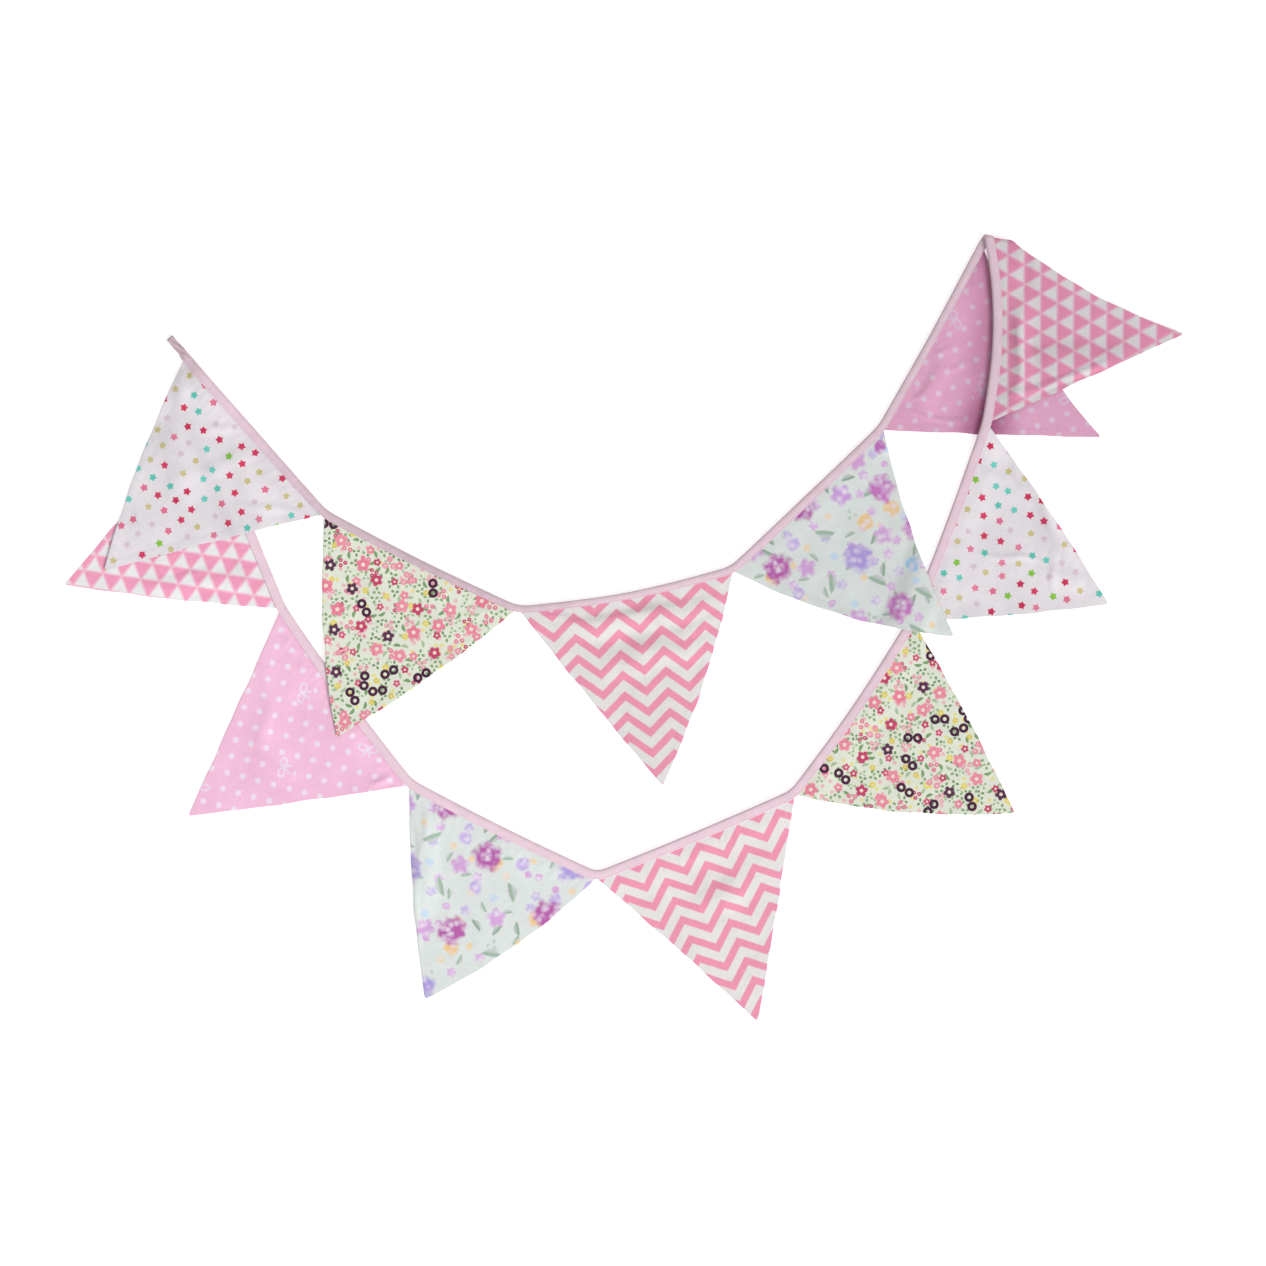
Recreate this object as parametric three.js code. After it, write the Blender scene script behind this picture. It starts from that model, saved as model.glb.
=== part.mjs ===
// Fabric bunting: twelve double-sided triangular pennants whose top edges are held
// in one continuous folded binding tape.
//
// It lies flat. The first run sags from the left end up to a peak at the right, where
// the whole strip is folded over, and the second run sags back to the left under the
// first. Millimetres, +X to the right, +Y up the layout, +Z away from the surface.
//
// The string is worked out unfolded, as one flat strip with every pennant on the right
// of the tape, and is then folded over the crease and settled on what lies under it.

import * as THREE from 'three';

// Cloth and tape sizes
const tapeWidth = 9;
const tapeWall = 1.0;
const sheet = 1.0;
const clearance = 0.3;
const channel = sheet + 2 * clearance;
const tapeThickness = 2 * tapeWall + channel;
const tuck = 7.1;
const tipWidth = 3;
const stub = { length: 22.5, heading: -48, closedOver: 8 };
const hiddenEnd = 16;

// How cloth lies over cloth
const layOver = 0.8;
const edgeMargin = 3.5;
const edgeRamp = 20;
const liftStart = 2;
const liftEnd = 28;
const blendFromTape = 16;

// The fold at the peak: its direction, how far past the sixth pennant's first corner it
// falls, the inner radius of the roll and the length over which the top layer settles
const crease = { heading: -10.7, pastCorner: 6, innerRadius: 0.6, settleOver: 80 };
const rollAxis = tapeThickness + crease.innerRadius;
const rollRadius = rollAxis - tapeThickness / 2;
const rollLength = Math.PI * rollRadius;
const foldedFrom = 5;

// The first point of the tape, at its free end
const start = new THREE.Vector2(-378.8, 240.9);
const bendReach = 10;
const stepAlong = 1;

// One row for each pennant, from the tape's free end. gap is the bare tape before it,
// heading the direction of its top edge as laid, turn how far the tape curves along it,
// lean the tip's offset along the top edge from its middle, depth the tip's distance
// from the tape, and the bows how far the two side edges swell outwards.
const pennantColumns = [
  'print', 'gap', 'heading', 'turn', 'span', 'lean', 'depth', 'nearBow', 'farBow',
];
const pennants = [
  ['stars', 0, -48.4, 1, 171, 0, 164, 4.5, -1],
  ['sprigs', 4, -26.2, 3, 174.5, 1, 158, 6, 3.5],
  ['chevrons', 5, 10.5, 2, 177, 0, 162, 1, 5.5],
  ['blooms', 2, 43.5, 2, 169, 10, 163, 9, -5],
  ['bows', 1, 61.2, 1, 169.5, -3, 159, 0.5, -8],
  ['triangles', 3, -89.5, -19, 165, 10, 159, -9, 0],
  ['stars', 5, -110.5, -3, 171, 17, 143, 2, 2],
  ['sprigs', 4, -124.5, -5, 171, -4.5, 156, 2.5, 6.5],
  ['chevrons', 3, -157.2, -2, 174.5, 11, 159, 0.5, -1],
  ['blooms', 2, -206.4, -3, 170, -3, 151, 6.5, 3.5],
  ['bows', 3, -233.8, -4, 177.5, -2, 160, 1, 0],
  ['triangles', 4, -248.5, -2, 176.5, -5, 156, 2, -3],
].map((row) => Object.fromEntries(pennantColumns.map((name, i) => [name, row[i]])));

// What lies under each pennant that isn't on the surface, by pennant number from 1.
// tape names the stretch of tape under it, as the pennants that it belongs to.
const layers = [
  { over: 6, pennants: [5], tape: [4, 5] },
  { over: 7, pennants: [5], tape: [] },
  { over: 1, pennants: [12], tape: [11, 12] },
  { over: 2, pennants: [11], tape: [11] },
  { over: 4, pennants: [7, 8], tape: [7, 8] },
];

// One row for each raised fold in the cloth: its pennant, its two ends as shares of the
// top edge (u) and of the way to the tip (v), its height and how far it spreads
const foldColumns = ['pennant', 'u0', 'v0', 'u1', 'v1', 'height', 'reach'];
const folds = [
  [1, 0.1, 0.3, 0.5, 0.42, 2.6, 16],
  [1, 0.55, 0.1, 0.95, 0.2, 2.4, 14],
  [3, 0.15, 0.1, 0.95, 0.14, 3.2, 16],
  [3, 0.3, 0.32, 0.95, 0.3, 2.6, 16],
  [5, 0.14, 0.13, 0.4, 0.11, 2.0, 14],
  [6, 0.3, 0.13, 0.95, 0.12, 4.0, 14],
  [6, 0.75, 0.2, 0.9, 0.75, 2.6, 16],
  [7, 0.05, 0.25, 0.12, 0.7, 2.6, 16],
  [7, 0.5, 0.62, 0.3, 0.82, 2.0, 14],
  [9, 0.3, 0.3, 0.6, 0.34, 2.0, 16],
  [10, 0.9, 0.12, 0.9, 0.6, 2.6, 14],
  [11, 0.88, 0.2, 0.45, 0.5, 2.2, 14],
  [12, 0.14, 0.1, 0.14, 0.6, 1.6, 12],
].map((row) => Object.fromEntries(foldColumns.map((name, i) => [name, row[i]])));

// Mesh fineness of a pennant: columns across its top edge, rows down to its tip
const coarse = { columns: 11, rows: 13 };

const colours = {
  tape: 0xe6c8db,
  stars: 0xf2ebef,
  sprigs: 0xe6efdc,
  chevrons: 0xf9a3bf,
  blooms: 0xdde8e3,
  bows: 0xf4bdde,
  triangles: 0xfba0c3,
};

const radians = THREE.MathUtils.degToRad;
const mix = THREE.MathUtils.lerp;
const smooth = (low, high, x) => THREE.MathUtils.smoothstep(x, low, high);

// Tape path

// The heading of the unfolded string: a row past the fold is mirrored in the crease
function unfoldedHeading(index, heading) {
  return index >= foldedFrom ? 2 * crease.heading - heading : heading;
}

// Places along the tape where each pennant starts and ends, and the headings there
function measureString() {
  const marks = [{ s: 0, heading: stub.heading }];
  const spans = [];
  let s = stub.length;
  marks.push({ s: s - 2, heading: stub.heading });
  pennants.forEach((pennant, index) => {
    s += pennant.gap;
    const from = unfoldedHeading(index, pennant.heading - pennant.turn / 2);
    const to = unfoldedHeading(index, pennant.heading + pennant.turn / 2);
    marks.push({ s: s + bendReach, heading: from });
    marks.push({ s: s + pennant.span - bendReach, heading: to });
    spans.push({ from: s, to: s + pennant.span });
    s += pennant.span;
  });
  const length = s + hiddenEnd;
  marks.push({ s: length, heading: marks[marks.length - 1].heading });
  return { marks, spans, length };
}

const string = measureString();

// The heading turns smoothly from mark to mark
function headingAt(s) {
  const marks = string.marks;
  let i = 1;
  while (i < marks.length - 1 && marks[i].s < s) i += 1;
  const before = marks[i - 1];
  const after = marks[i];
  return mix(before.heading, after.heading, smooth(before.s, after.s, s));
}

// Points of the tape's middle line, a step apart, by adding up its heading
function tracePath() {
  const points = [start.clone()];
  const steps = Math.ceil(string.length / stepAlong);
  for (let i = 0; i < steps; i += 1) {
    const angle = radians(headingAt((i + 0.5) * stepAlong));
    const last = points[i];
    points.push(new THREE.Vector2(
      last.x + stepAlong * Math.cos(angle),
      last.y + stepAlong * Math.sin(angle),
    ));
  }
  return points;
}

const path = tracePath();

// Near the fold the lines drawn across the tape lean over, to lie along the crease
const foldPlace = string.spans[foldedFrom].from + crease.pastCorner;

function leanAt(s) {
  const rollEnd = foldPlace + rollLength;
  const nearFold = smooth(foldPlace - 14, foldPlace - 4, s) * (1 - smooth(rollEnd + 6, rollEnd + 16, s));
  return nearFold * Math.tan(radians(crease.heading + 90 - headingAt(s)));
}

// A point beside the tape's middle line, across being positive on the pennants' side
function besideTape(along, across) {
  const s = along + across * leanAt(along);
  const place = THREE.MathUtils.clamp(s / stepAlong, 0, path.length - 1.001);
  const i = Math.floor(place);
  const angle = radians(headingAt(s));
  const middle = path[i].clone().lerp(path[i + 1], place - i);
  return middle.add(new THREE.Vector2(Math.sin(angle), -Math.cos(angle)).multiplyScalar(across));
}

// The fold

const foldPoint = besideTape(foldPlace, 0);
const creaseAlong = new THREE.Vector2(Math.cos(radians(crease.heading)), Math.sin(radians(crease.heading)));
const creasePast = new THREE.Vector2(-creaseAlong.y, creaseAlong.x);

// Carries a point of the unfolded strip over the crease: flat before it, round a roll,
// then flat on the far side and turned over. turned is the angle round the roll, and
// beyond the length that lies past it.
function foldOver(point, height) {
  const fromCrease = point.clone().sub(foldPoint);
  const along = fromCrease.dot(creaseAlong);
  const past = fromCrease.dot(creasePast);
  const turned = THREE.MathUtils.clamp(past / rollRadius, 0, Math.PI);
  const beyond = Math.max(0, past - rollLength);
  const reach = Math.min(past, 0) + (rollAxis - height) * Math.sin(turned) - beyond;
  const place = foldPoint.clone()
    .addScaledVector(creaseAlong, along)
    .addScaledVector(creasePast, reach);
  return { place, turned, beyond };
}

// Pennant outlines

// The straight frame of a pennant in the unfolded strip: its two top corners at the
// tape's inner edge, its tip, and unit vectors along and out from its top edge
function pennantFrame(index) {
  const { lean, depth } = pennants[index];
  const { from, to } = string.spans[index];
  const near = besideTape(from, tapeWidth / 2);
  const far = besideTape(to, tapeWidth / 2);
  const along = far.clone().sub(near).normalize();
  const out = new THREE.Vector2(along.y, -along.x);
  const tip = near.clone().lerp(far, 0.5).addScaledVector(along, lean).addScaledVector(out, depth);
  return { index, from, to, near, far, along, out, tip };
}

const frames = pennants.map((_, index) => pennantFrame(index));

// A side edge: a straight line from a corner to the tip, swelling by its bow
function sideEdge(corner, tip, bow, outSide, v) {
  const line = tip.clone().sub(corner);
  const swell = new THREE.Vector2(-line.y, line.x).normalize().multiplyScalar(outSide * bow);
  return corner.clone().addScaledVector(line, v).addScaledVector(swell, 4 * v * (1 - v));
}

// A point of the flat pennant: u from the near corner to the far one, v from the tape to
// the tip. The top edge follows the tape, and its curve dies away towards the tip.
function pennantPoint(frame, u, v) {
  const { nearBow, farBow } = pennants[frame.index];
  const nearTip = frame.tip.clone().addScaledVector(frame.along, -tipWidth / 2);
  const farTip = frame.tip.clone().addScaledVector(frame.along, tipWidth / 2);
  const nearSide = sideEdge(frame.near, nearTip, nearBow, -1, v);
  const farSide = sideEdge(frame.far, farTip, farBow, 1, v);
  const chord = frame.near.clone().lerp(frame.far, u);
  const curved = besideTape(mix(frame.from, frame.to, u), tapeWidth / 2);
  return nearSide.lerp(farSide, u).addScaledVector(curved.sub(chord), 1 - v);
}

// The laid outline of a pennant as a closed loop of points
function laidOutline(index) {
  const frame = frames[index];
  const loop = [];
  const steps = 12;
  for (let i = 0; i < steps; i += 1) loop.push(pennantPoint(frame, i / steps, 0));
  for (let i = 0; i < steps; i += 1) loop.push(pennantPoint(frame, 1, i / steps));
  for (let i = 0; i < steps; i += 1) loop.push(pennantPoint(frame, 0, 1 - i / steps));
  return loop.map((point) => (index >= foldedFrom ? foldOver(point, 0).place : point));
}

// Laying cloth over cloth

// Distance from a point to a loop or line of points, negative inside a loop
function distanceTo(points, closed, place) {
  let nearest = Infinity;
  let inside = false;
  const count = closed ? points.length : points.length - 1;
  for (let i = 0; i < count; i += 1) {
    const a = points[i];
    const b = points[(i + 1) % points.length];
    const edge = b.clone().sub(a);
    const share = THREE.MathUtils.clamp(place.clone().sub(a).dot(edge) / edge.lengthSq(), 0, 1);
    nearest = Math.min(nearest, place.distanceTo(a.clone().addScaledVector(edge, share)));
    const crosses = (a.y > place.y) !== (b.y > place.y);
    if (crosses && place.x < a.x + ((place.y - a.y) / edge.y) * edge.x) inside = !inside;
  }
  return closed && inside ? -nearest : nearest;
}

// How much a piece under a point holds up the cloth above it: all of its height as far
// as a margin outside its edge, then a smooth ramp down to nothing
const held = (distance) => 1 - smooth(edgeMargin, edgeMargin + edgeRamp, distance);

// A pennant's underside is lifted into the tape's channel and comes down beside it
const liftAt = (fromTape) => (tapeWall + clearance) * (1 - smooth(liftStart, liftEnd, fromTape));

// The stretch of tape along one pennant, as laid, widened to take in the gaps
function laidTape(index) {
  const { from, to } = string.spans[index];
  const points = [];
  const steps = 10;
  const last = index === pennants.length - 1 ? to + hiddenEnd : to + 4;
  for (let i = 0; i <= steps; i += 1) {
    const point = besideTape(mix(from - 4, last, i / steps), 0);
    points.push(index >= foldedFrom ? foldOver(point, 0).place : point);
  }
  return points;
}

// What lies under one piece, ready to be asked for its height
function supportsOf(number) {
  const layer = layers.find((row) => row.over === number);
  if (!layer) return [];
  const cloths = layer.pennants.map((under) => {
    const outline = laidOutline(under - 1);
    const top = laidTape(under - 1);
    return (place) => {
      const fromTape = Math.max(0, distanceTo(top, false, place) - tapeWidth / 2);
      return (sheet + layOver + liftAt(fromTape)) * held(distanceTo(outline, true, place));
    };
  });
  const tapes = layer.tape.map((under) => {
    const line = laidTape(under - 1);
    const height = tapeThickness + layOver;
    return (place) => height * held(distanceTo(line, false, place) - tapeWidth / 2);
  });
  return [...cloths, ...tapes];
}

const supports = pennants.map((_, index) => supportsOf(index + 1));

// Height of the bed under a place: a soft maximum of what lies there
function bedUnder(index, place) {
  const sharpness = 6;
  const total = supports[index].reduce((sum, height) => sum + height(place) ** sharpness, 0);
  return total > 0 ? total ** (1 / sharpness) : 0;
}

// The tape stays level across its width, at the highest of its edges and middle
function bedUnderTape(index, s) {
  const heights = [-tapeWidth / 2, 0, tapeWidth / 2].map((across) => {
    const point = besideTape(s, across);
    const place = index >= foldedFrom ? foldOver(point, 0).place : point;
    return bedUnder(index, place);
  });
  return Math.max(...heights);
}

// Puts a point of the unfolded strip in its place. height is its level in the strip's own
// thickness, and middle the level about which the strip turns over at the fold.
function settle(index, point, height, middle, bed) {
  if (index < foldedFrom) return new THREE.Vector3(point.x, point.y, bed + height);
  const { place, turned, beyond } = foldOver(point, height);
  const rolled = rollAxis - (rollAxis - height) * Math.cos(turned);
  const settled = bed + 2 * middle - height;
  const z = mix(rolled, settled, smooth(0, crease.settleOver, beyond));
  return new THREE.Vector3(place.x, place.y, z);
}

// Solids

function solidFrom(vertices, triangles) {
  const geometry = new THREE.BufferGeometry();
  const numbers = vertices.flatMap((vertex) => [vertex.x, vertex.y, vertex.z]);
  geometry.setAttribute('position', new THREE.Float32BufferAttribute(numbers, 3));
  geometry.setIndex(triangles);
  geometry.computeVertexNormals();
  return geometry;
}

// Shares from 0 to 1, close together as far as fineTo, for the pennant that is folded
function shares(count, fineCount, fineTo) {
  const list = [];
  for (let i = 0; i < fineCount; i += 1) list.push((fineTo * i) / fineCount);
  for (let i = 0; i <= count; i += 1) list.push(mix(fineTo, 1, i / count));
  return list;
}

function columnsOf(index) {
  return index === foldedFrom ? shares(coarse.columns, 10, 0.1) : shares(coarse.columns, 0, 0);
}

function rowsOf(index) {
  return index === foldedFrom ? shares(coarse.rows, 9, 0.2) : shares(coarse.rows, 0, 0);
}

// Raised folds: a soft ridge about a line, fading at both ends and beside the tape
function foldsAt(frame, point, fromTape) {
  let height = 0;
  for (const fold of folds) {
    if (fold.pennant - 1 !== frame.index) continue;
    const a = pennantPoint(frame, fold.u0, fold.v0);
    const b = pennantPoint(frame, fold.u1, fold.v1);
    const line = b.clone().sub(a);
    const share = point.clone().sub(a).dot(line) / line.lengthSq();
    const foot = a.clone().addScaledVector(line, THREE.MathUtils.clamp(share, 0, 1));
    const away = Math.min(1, point.distanceTo(foot) / fold.reach);
    height += fold.height * (1 - away * away) ** 2;
  }
  return height * smooth(4, 14, fromTape);
}

// A pennant: one row of points inside the tape's channel, then rows down to the tip,
// each with a lower and an upper point
function pennantGeometry(index) {
  const frame = frames[index];
  const columns = columnsOf(index);
  const rows = [null, ...rowsOf(index)];
  const depth = pennants[index].depth;
  const faces = [0, 1].map((side) => rows.flatMap((v) => columns.map((u) => {
    const s = mix(frame.from, frame.to, u);
    const inChannel = v === null;
    const point = inChannel ? besideTape(s, tapeWidth / 2 - tuck) : pennantPoint(frame, u, v);
    const fromTape = inChannel ? 0 : v * depth;
    const lift = liftAt(fromTape) + foldsAt(frame, point, fromTape);
    const place = index >= foldedFrom ? foldOver(point, lift).place : point;
    const share = smooth(0, blendFromTape, fromTape);
    const bed = mix(bedUnderTape(index, s), bedUnder(index, place), share);
    return settle(index, point, lift + side * sheet, lift + sheet / 2, bed);
  })));
  return gridSolid(faces, rows.length, columns.length);
}

// Two grids of points, one over the other, closed round their rim into one solid
function gridSolid(faces, rowCount, columnCount) {
  const size = rowCount * columnCount;
  const at = (side, row, column) => side * size + row * columnCount + column;
  const triangles = [];
  const quad = (a, b, c, d) => triangles.push(a, b, c, a, c, d);
  for (let r = 0; r < rowCount - 1; r += 1) {
    for (let c = 0; c < columnCount - 1; c += 1) {
      quad(at(0, r, c), at(0, r, c + 1), at(0, r + 1, c + 1), at(0, r + 1, c));
      quad(at(1, r, c), at(1, r + 1, c), at(1, r + 1, c + 1), at(1, r, c + 1));
    }
  }
  const rim = [];
  for (let c = 0; c < columnCount - 1; c += 1) rim.push([0, c]);
  for (let r = 0; r < rowCount - 1; r += 1) rim.push([r, columnCount - 1]);
  for (let c = columnCount - 1; c > 0; c -= 1) rim.push([rowCount - 1, c]);
  for (let r = rowCount - 1; r > 0; r -= 1) rim.push([r, 0]);
  rim.forEach(([r, c], i) => {
    const [nextRow, nextColumn] = rim[(i + 1) % rim.length];
    quad(at(0, r, c), at(1, r, c), at(1, nextRow, nextColumn), at(0, nextRow, nextColumn));
  });
  return solidFrom([...faces[0], ...faces[1]], triangles);
}

// Places along the tape where its section is drawn: every pennant's own columns, the
// gaps between them, the roll of the fold and both ends
function tapeStations() {
  const stations = [0, 6, 12, stub.length - 4];
  string.spans.forEach(({ from, to }, index) => {
    if (index > 0) stations.push(from - pennants[index].gap / 2);
    columnsOf(index).forEach((u) => stations.push(mix(from, to, u)));
    if (index === pennants.length - 1) stations.push(to + hiddenEnd / 2, string.length);
  });
  stations.sort((a, b) => a - b);
  return stations.filter((s, i) => i === 0 || s - stations[i - 1] > 0.4);
}

// The pennant whose stretch of tape a place belongs to
function pennantAt(s) {
  const found = string.spans.findIndex(({ to }, index) => {
    const gap = index < pennants.length - 1 ? pennants[index + 1].gap : hiddenEnd;
    return s <= to + gap / 2;
  });
  return found < 0 ? pennants.length - 1 : found;
}

// The channel closes to a slit where the bare ends are pressed flat
function channelAt(s) {
  const last = string.spans[string.spans.length - 1].to;
  const opening = smooth(stub.length - stub.closedOver, stub.length - 2, s);
  const open = Math.min(opening, 1 - smooth(last + 2, last + 2 + stub.closedOver, s));
  return mix(clearance, channel, open);
}

// The tape's section: folded along its outer edge and open on the pennants' side
function tapeSection(s) {
  const outer = -tapeWidth / 2;
  const inner = tapeWidth / 2;
  const pressed = channel - channelAt(s);
  const top = tapeThickness - pressed;
  return [
    [outer, 0], [inner, 0], [inner, tapeWall], [outer + tapeWall, tapeWall],
    [outer + tapeWall, top - tapeWall], [inner, top - tapeWall], [inner, top], [outer, top],
  ];
}

function tapeGeometry() {
  const stations = tapeStations();
  const ring = 8;
  const vertices = stations.flatMap((s) => {
    const index = pennantAt(s);
    const bed = bedUnderTape(index, s);
    const section = tapeSection(s);
    const middle = section[6][1] / 2;
    return section.map(([across, height]) => settle(index, besideTape(s, across), height, middle, bed));
  });
  const triangles = [];
  for (let i = 0; i < stations.length - 1; i += 1) {
    for (let k = 0; k < ring; k += 1) {
      const a = i * ring + k;
      const b = i * ring + ((k + 1) % ring);
      triangles.push(a, a + ring, b + ring, a, b + ring, b);
    }
  }
  const cap = [[0, 1, 2], [0, 2, 3], [0, 3, 7], [3, 4, 7], [4, 5, 6], [4, 6, 7]];
  const last = (stations.length - 1) * ring;
  cap.forEach(([a, b, c]) => triangles.push(a, b, c, last + a, last + c, last + b));
  return solidFrom(vertices, triangles);
}

// Assembly

function cloth(name, geometry, colour) {
  const material = new THREE.MeshStandardMaterial({ color: colour, roughness: 0.9, metalness: 0 });
  const mesh = new THREE.Mesh(geometry, material);
  mesh.name = name;
  return mesh;
}

const bunting = new THREE.Group();
bunting.add(cloth('binding_tape', tapeGeometry(), colours.tape));
pennants.forEach(({ print }, index) => {
  const number = String(index + 1).padStart(2, '0');
  bunting.add(cloth(`pennant_${number}_${print}`, pennantGeometry(index), colours[print]));
});

export default bunting;
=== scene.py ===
"""Dresses a fabric bunting: twelve printed cotton pennants held in one folded binding tape.

The bunting lies flat in two sagging runs, with the strip folded over at the peak. Every shape
is worked out in millimetres in the strip's own unfolded plane, is folded over the crease and
settled on what lies beneath, and is turned to metres when its mesh is made.
"""

import logging
import math
from dataclasses import dataclass, field
from enum import Enum
from typing import Any, ClassVar

import bpy
import numpy as np
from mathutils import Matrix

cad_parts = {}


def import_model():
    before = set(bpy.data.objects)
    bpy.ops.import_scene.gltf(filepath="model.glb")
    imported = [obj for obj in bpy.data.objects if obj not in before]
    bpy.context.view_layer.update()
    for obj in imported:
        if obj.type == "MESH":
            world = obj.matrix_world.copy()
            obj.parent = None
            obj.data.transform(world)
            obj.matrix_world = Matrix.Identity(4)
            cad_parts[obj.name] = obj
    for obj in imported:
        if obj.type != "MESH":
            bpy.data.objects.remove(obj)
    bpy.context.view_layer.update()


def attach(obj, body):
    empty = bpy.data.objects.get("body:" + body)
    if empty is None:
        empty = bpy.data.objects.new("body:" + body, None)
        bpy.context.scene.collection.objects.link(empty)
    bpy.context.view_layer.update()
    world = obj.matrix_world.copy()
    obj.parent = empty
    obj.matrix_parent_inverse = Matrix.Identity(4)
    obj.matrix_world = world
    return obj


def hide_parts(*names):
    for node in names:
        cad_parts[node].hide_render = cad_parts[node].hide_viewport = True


log = logging.getLogger("bunting")

MM = 0.001
FLAT_MAP = "flat_cut"

Array = np.ndarray
Material = bpy.types.Material
Mesh = bpy.types.Mesh
Piece = bpy.types.Object
Socket = bpy.types.NodeSocket


# Small sums that every shape shares


def smooth(low: float, high: float, x: Any) -> Any:
    """Returns 0 below low, 1 above high and a smooth S curve between them."""
    share = np.clip((x - low) / (high - low), 0.0, 1.0)
    return share * share * (3.0 - 2.0 * share)


def mix(a: Any, b: Any, share: Any) -> Any:
    """Returns the value that lies at a share of the way from a to b."""
    return a + (b - a) * share


def dot(a: Array, b: Array) -> Array:
    """Returns the products of two sets of vectors."""
    return (a * b).sum(axis=-1)


def along_line(a: Array, b: Array, share: Array) -> Array:
    """Returns the points at given shares of the straight line from a to b."""
    return a + (b - a) * np.asarray(share)[..., None]


def away_from_line(places: Array, a: Array, b: Array) -> Array:
    """Measures how far places lie from a straight stretch.

    Args:
        places: points, in millimetres.
        a: the stretch's first end.
        b: its other end.

    Returns:
        The distance from each place to its nearest point of the stretch.
    """
    line = b - a
    share = np.clip(dot(places - a, line) / dot(line, line), 0.0, 1.0)
    return np.linalg.norm(places - (a + share[..., None] * line), axis=-1)


def distance_to(points: Array, closed: bool, places: Array) -> Array:
    """Measures how far places lie from a chain of points.

    Args:
        points: the chain, in millimetres.
        closed: whether the chain is a loop.
        places: the points to measure from.

    Returns:
        The nearest distance for each place, negative inside a loop.
    """
    count = len(points) if closed else len(points) - 1
    nearest = np.full(places.shape[:-1], np.inf)
    inside = np.zeros(places.shape[:-1], dtype=bool)
    x = places[..., 0]
    y = places[..., 1]
    for i in range(count):
        a = points[i]
        b = points[(i + 1) % len(points)]
        nearest = np.minimum(nearest, away_from_line(places, a, b))
        if closed and a[1] != b[1]:
            crossing = a[0] + (y - a[1]) / (b[1] - a[1]) * (b[0] - a[0])
            inside ^= ((a[1] > y) != (b[1] > y)) & (x < crossing)
    return np.where(inside, -nearest, nearest)


# What the strip is cut from


class Print(Enum):
    """The six printed cottons, in the order in which they repeat along the tape."""

    STARS = "stars"
    SPRIGS = "sprigs"
    CHEVRONS = "chevrons"
    BLOOMS = "blooms"
    BOWS = "bows"
    TRIANGLES = "triangles"


@dataclass(frozen=True)
class PennantCut:
    """One pennant: its cloth, its place along the tape and its cut.

    Lengths are in millimetres and angles in degrees. gap is the bare tape before it, heading and
    turn are the direction and curve of its top edge as laid, span is that edge's length, lean the
    tip's offset from the middle, depth the tip's distance from the tape, and the bows how far the
    side edges swell. grain turns its print on the cloth and shift moves it. The two shades are
    painted shade: how much darker the cloth, and then the tape along it, is coloured than beside
    the lightest pennants, to stand for less light falling there. tape_shown is the width of that
    tape as seen from above, which is less where its fold rolls in over the pennant.
    """

    cloth: Print
    gap: float
    heading: float
    turn: float
    span: float
    lean: float
    depth: float
    near_bow: float
    far_bow: float
    grain: float = 0.0
    shift: tuple[float, float] = (0.0, 0.0)
    painted_shade: float = 1.0
    tape_shade: float = 1.0
    tape_shown: float = 8.0


# The numbers are gap, heading, turn, span, lean, depth, near bow and far bow, in that order
# The shade values in this table are painted shade for the light that falls on each pennant and its tape
PENNANTS = (
    PennantCut(Print.STARS, 0, -48.4, 1, 171, 0, 164, 4.5, -1, painted_shade=0.95, tape_shade=0.9),
    PennantCut(
        Print.SPRIGS, 4, -26.2, 3, 174.5, 1, 158, 6, 3.5,
        painted_shade=0.97, tape_shade=0.73, tape_shown=6.3,
    ),
    PennantCut(
        Print.CHEVRONS, 5, 10.5, 9, 177, 0, 162, 1, 5.5,
        grain=-4.8, shift=(-7.9, -5.3), painted_shade=0.95, tape_shade=0.93, tape_shown=6.0,
    ),
    PennantCut(
        Print.BLOOMS, 2, 43.5, 2, 169, 10, 163, 9, -5,
        shift=(60, 0), painted_shade=0.88, tape_shade=0.86, tape_shown=7.8,
    ),
    PennantCut(
        Print.BOWS, 1, 61.2, 1, 169.5, -3, 159, 0.5, -8,
        grain=-39, painted_shade=0.72, tape_shade=0.8, tape_shown=6.4,
    ),
    PennantCut(Print.TRIANGLES, 3, -89.5, -19, 165, 10, 159, -9, 0, painted_shade=0.72, tape_shade=0.8),
    PennantCut(
        Print.STARS, 5, -110.5, -3, 171, 17, 143, 2, 2,
        shift=(40, 20), painted_shade=0.94, tape_shade=0.91, tape_shown=8.4,
    ),
    PennantCut(
        Print.SPRIGS, 4, -124.5, -5, 171, -4.5, 156, 2.5, 6.5,
        shift=(50, 30), painted_shade=0.95, tape_shade=0.92,
    ),
    PennantCut(Print.CHEVRONS, 3, -157.2, -2, 174.5, 11, 159, 0.5, -1, shift=(17.6, 4.4)),
    PennantCut(Print.BLOOMS, 2, -206.4, -3, 170, -3, 151, 6.5, 3.5),
    PennantCut(Print.BOWS, 3, -233.8, -4, 177.5, -2, 160, 1, 0, grain=-39, shift=(-11.2, -13.3)),
    PennantCut(Print.TRIANGLES, 4, -248.5, -2, 176.5, -5, 156, 2, -3, grain=180),
)


@dataclass(frozen=True)
class Underlay:
    """What lies under one pennant: other pennants, and stretches of tape named by pennant."""

    over: int
    pennants: tuple[int, ...]
    tape: tuple[int, ...]


UNDERLAYS = (
    Underlay(6, (5,), (4, 5)),
    Underlay(7, (5,), ()),
    Underlay(1, (12,), (11, 12)),
    Underlay(2, (11,), (11,)),
    Underlay(4, (7, 8), (7, 8)),
)


@dataclass(frozen=True)
class RaisedFold:
    """A soft ridge in a pennant, between two places given as shares of its width and depth.

    Its height and how far it reaches to each side are in millimetres.
    """

    pennant: int
    start: tuple[float, float]
    end: tuple[float, float]
    height: float
    reach: float


# How far from the tape a fold and a small crease come to their full height, in millimetres
FOLD_FADE = 14.0
CREASE_FADE = 6.0

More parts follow.
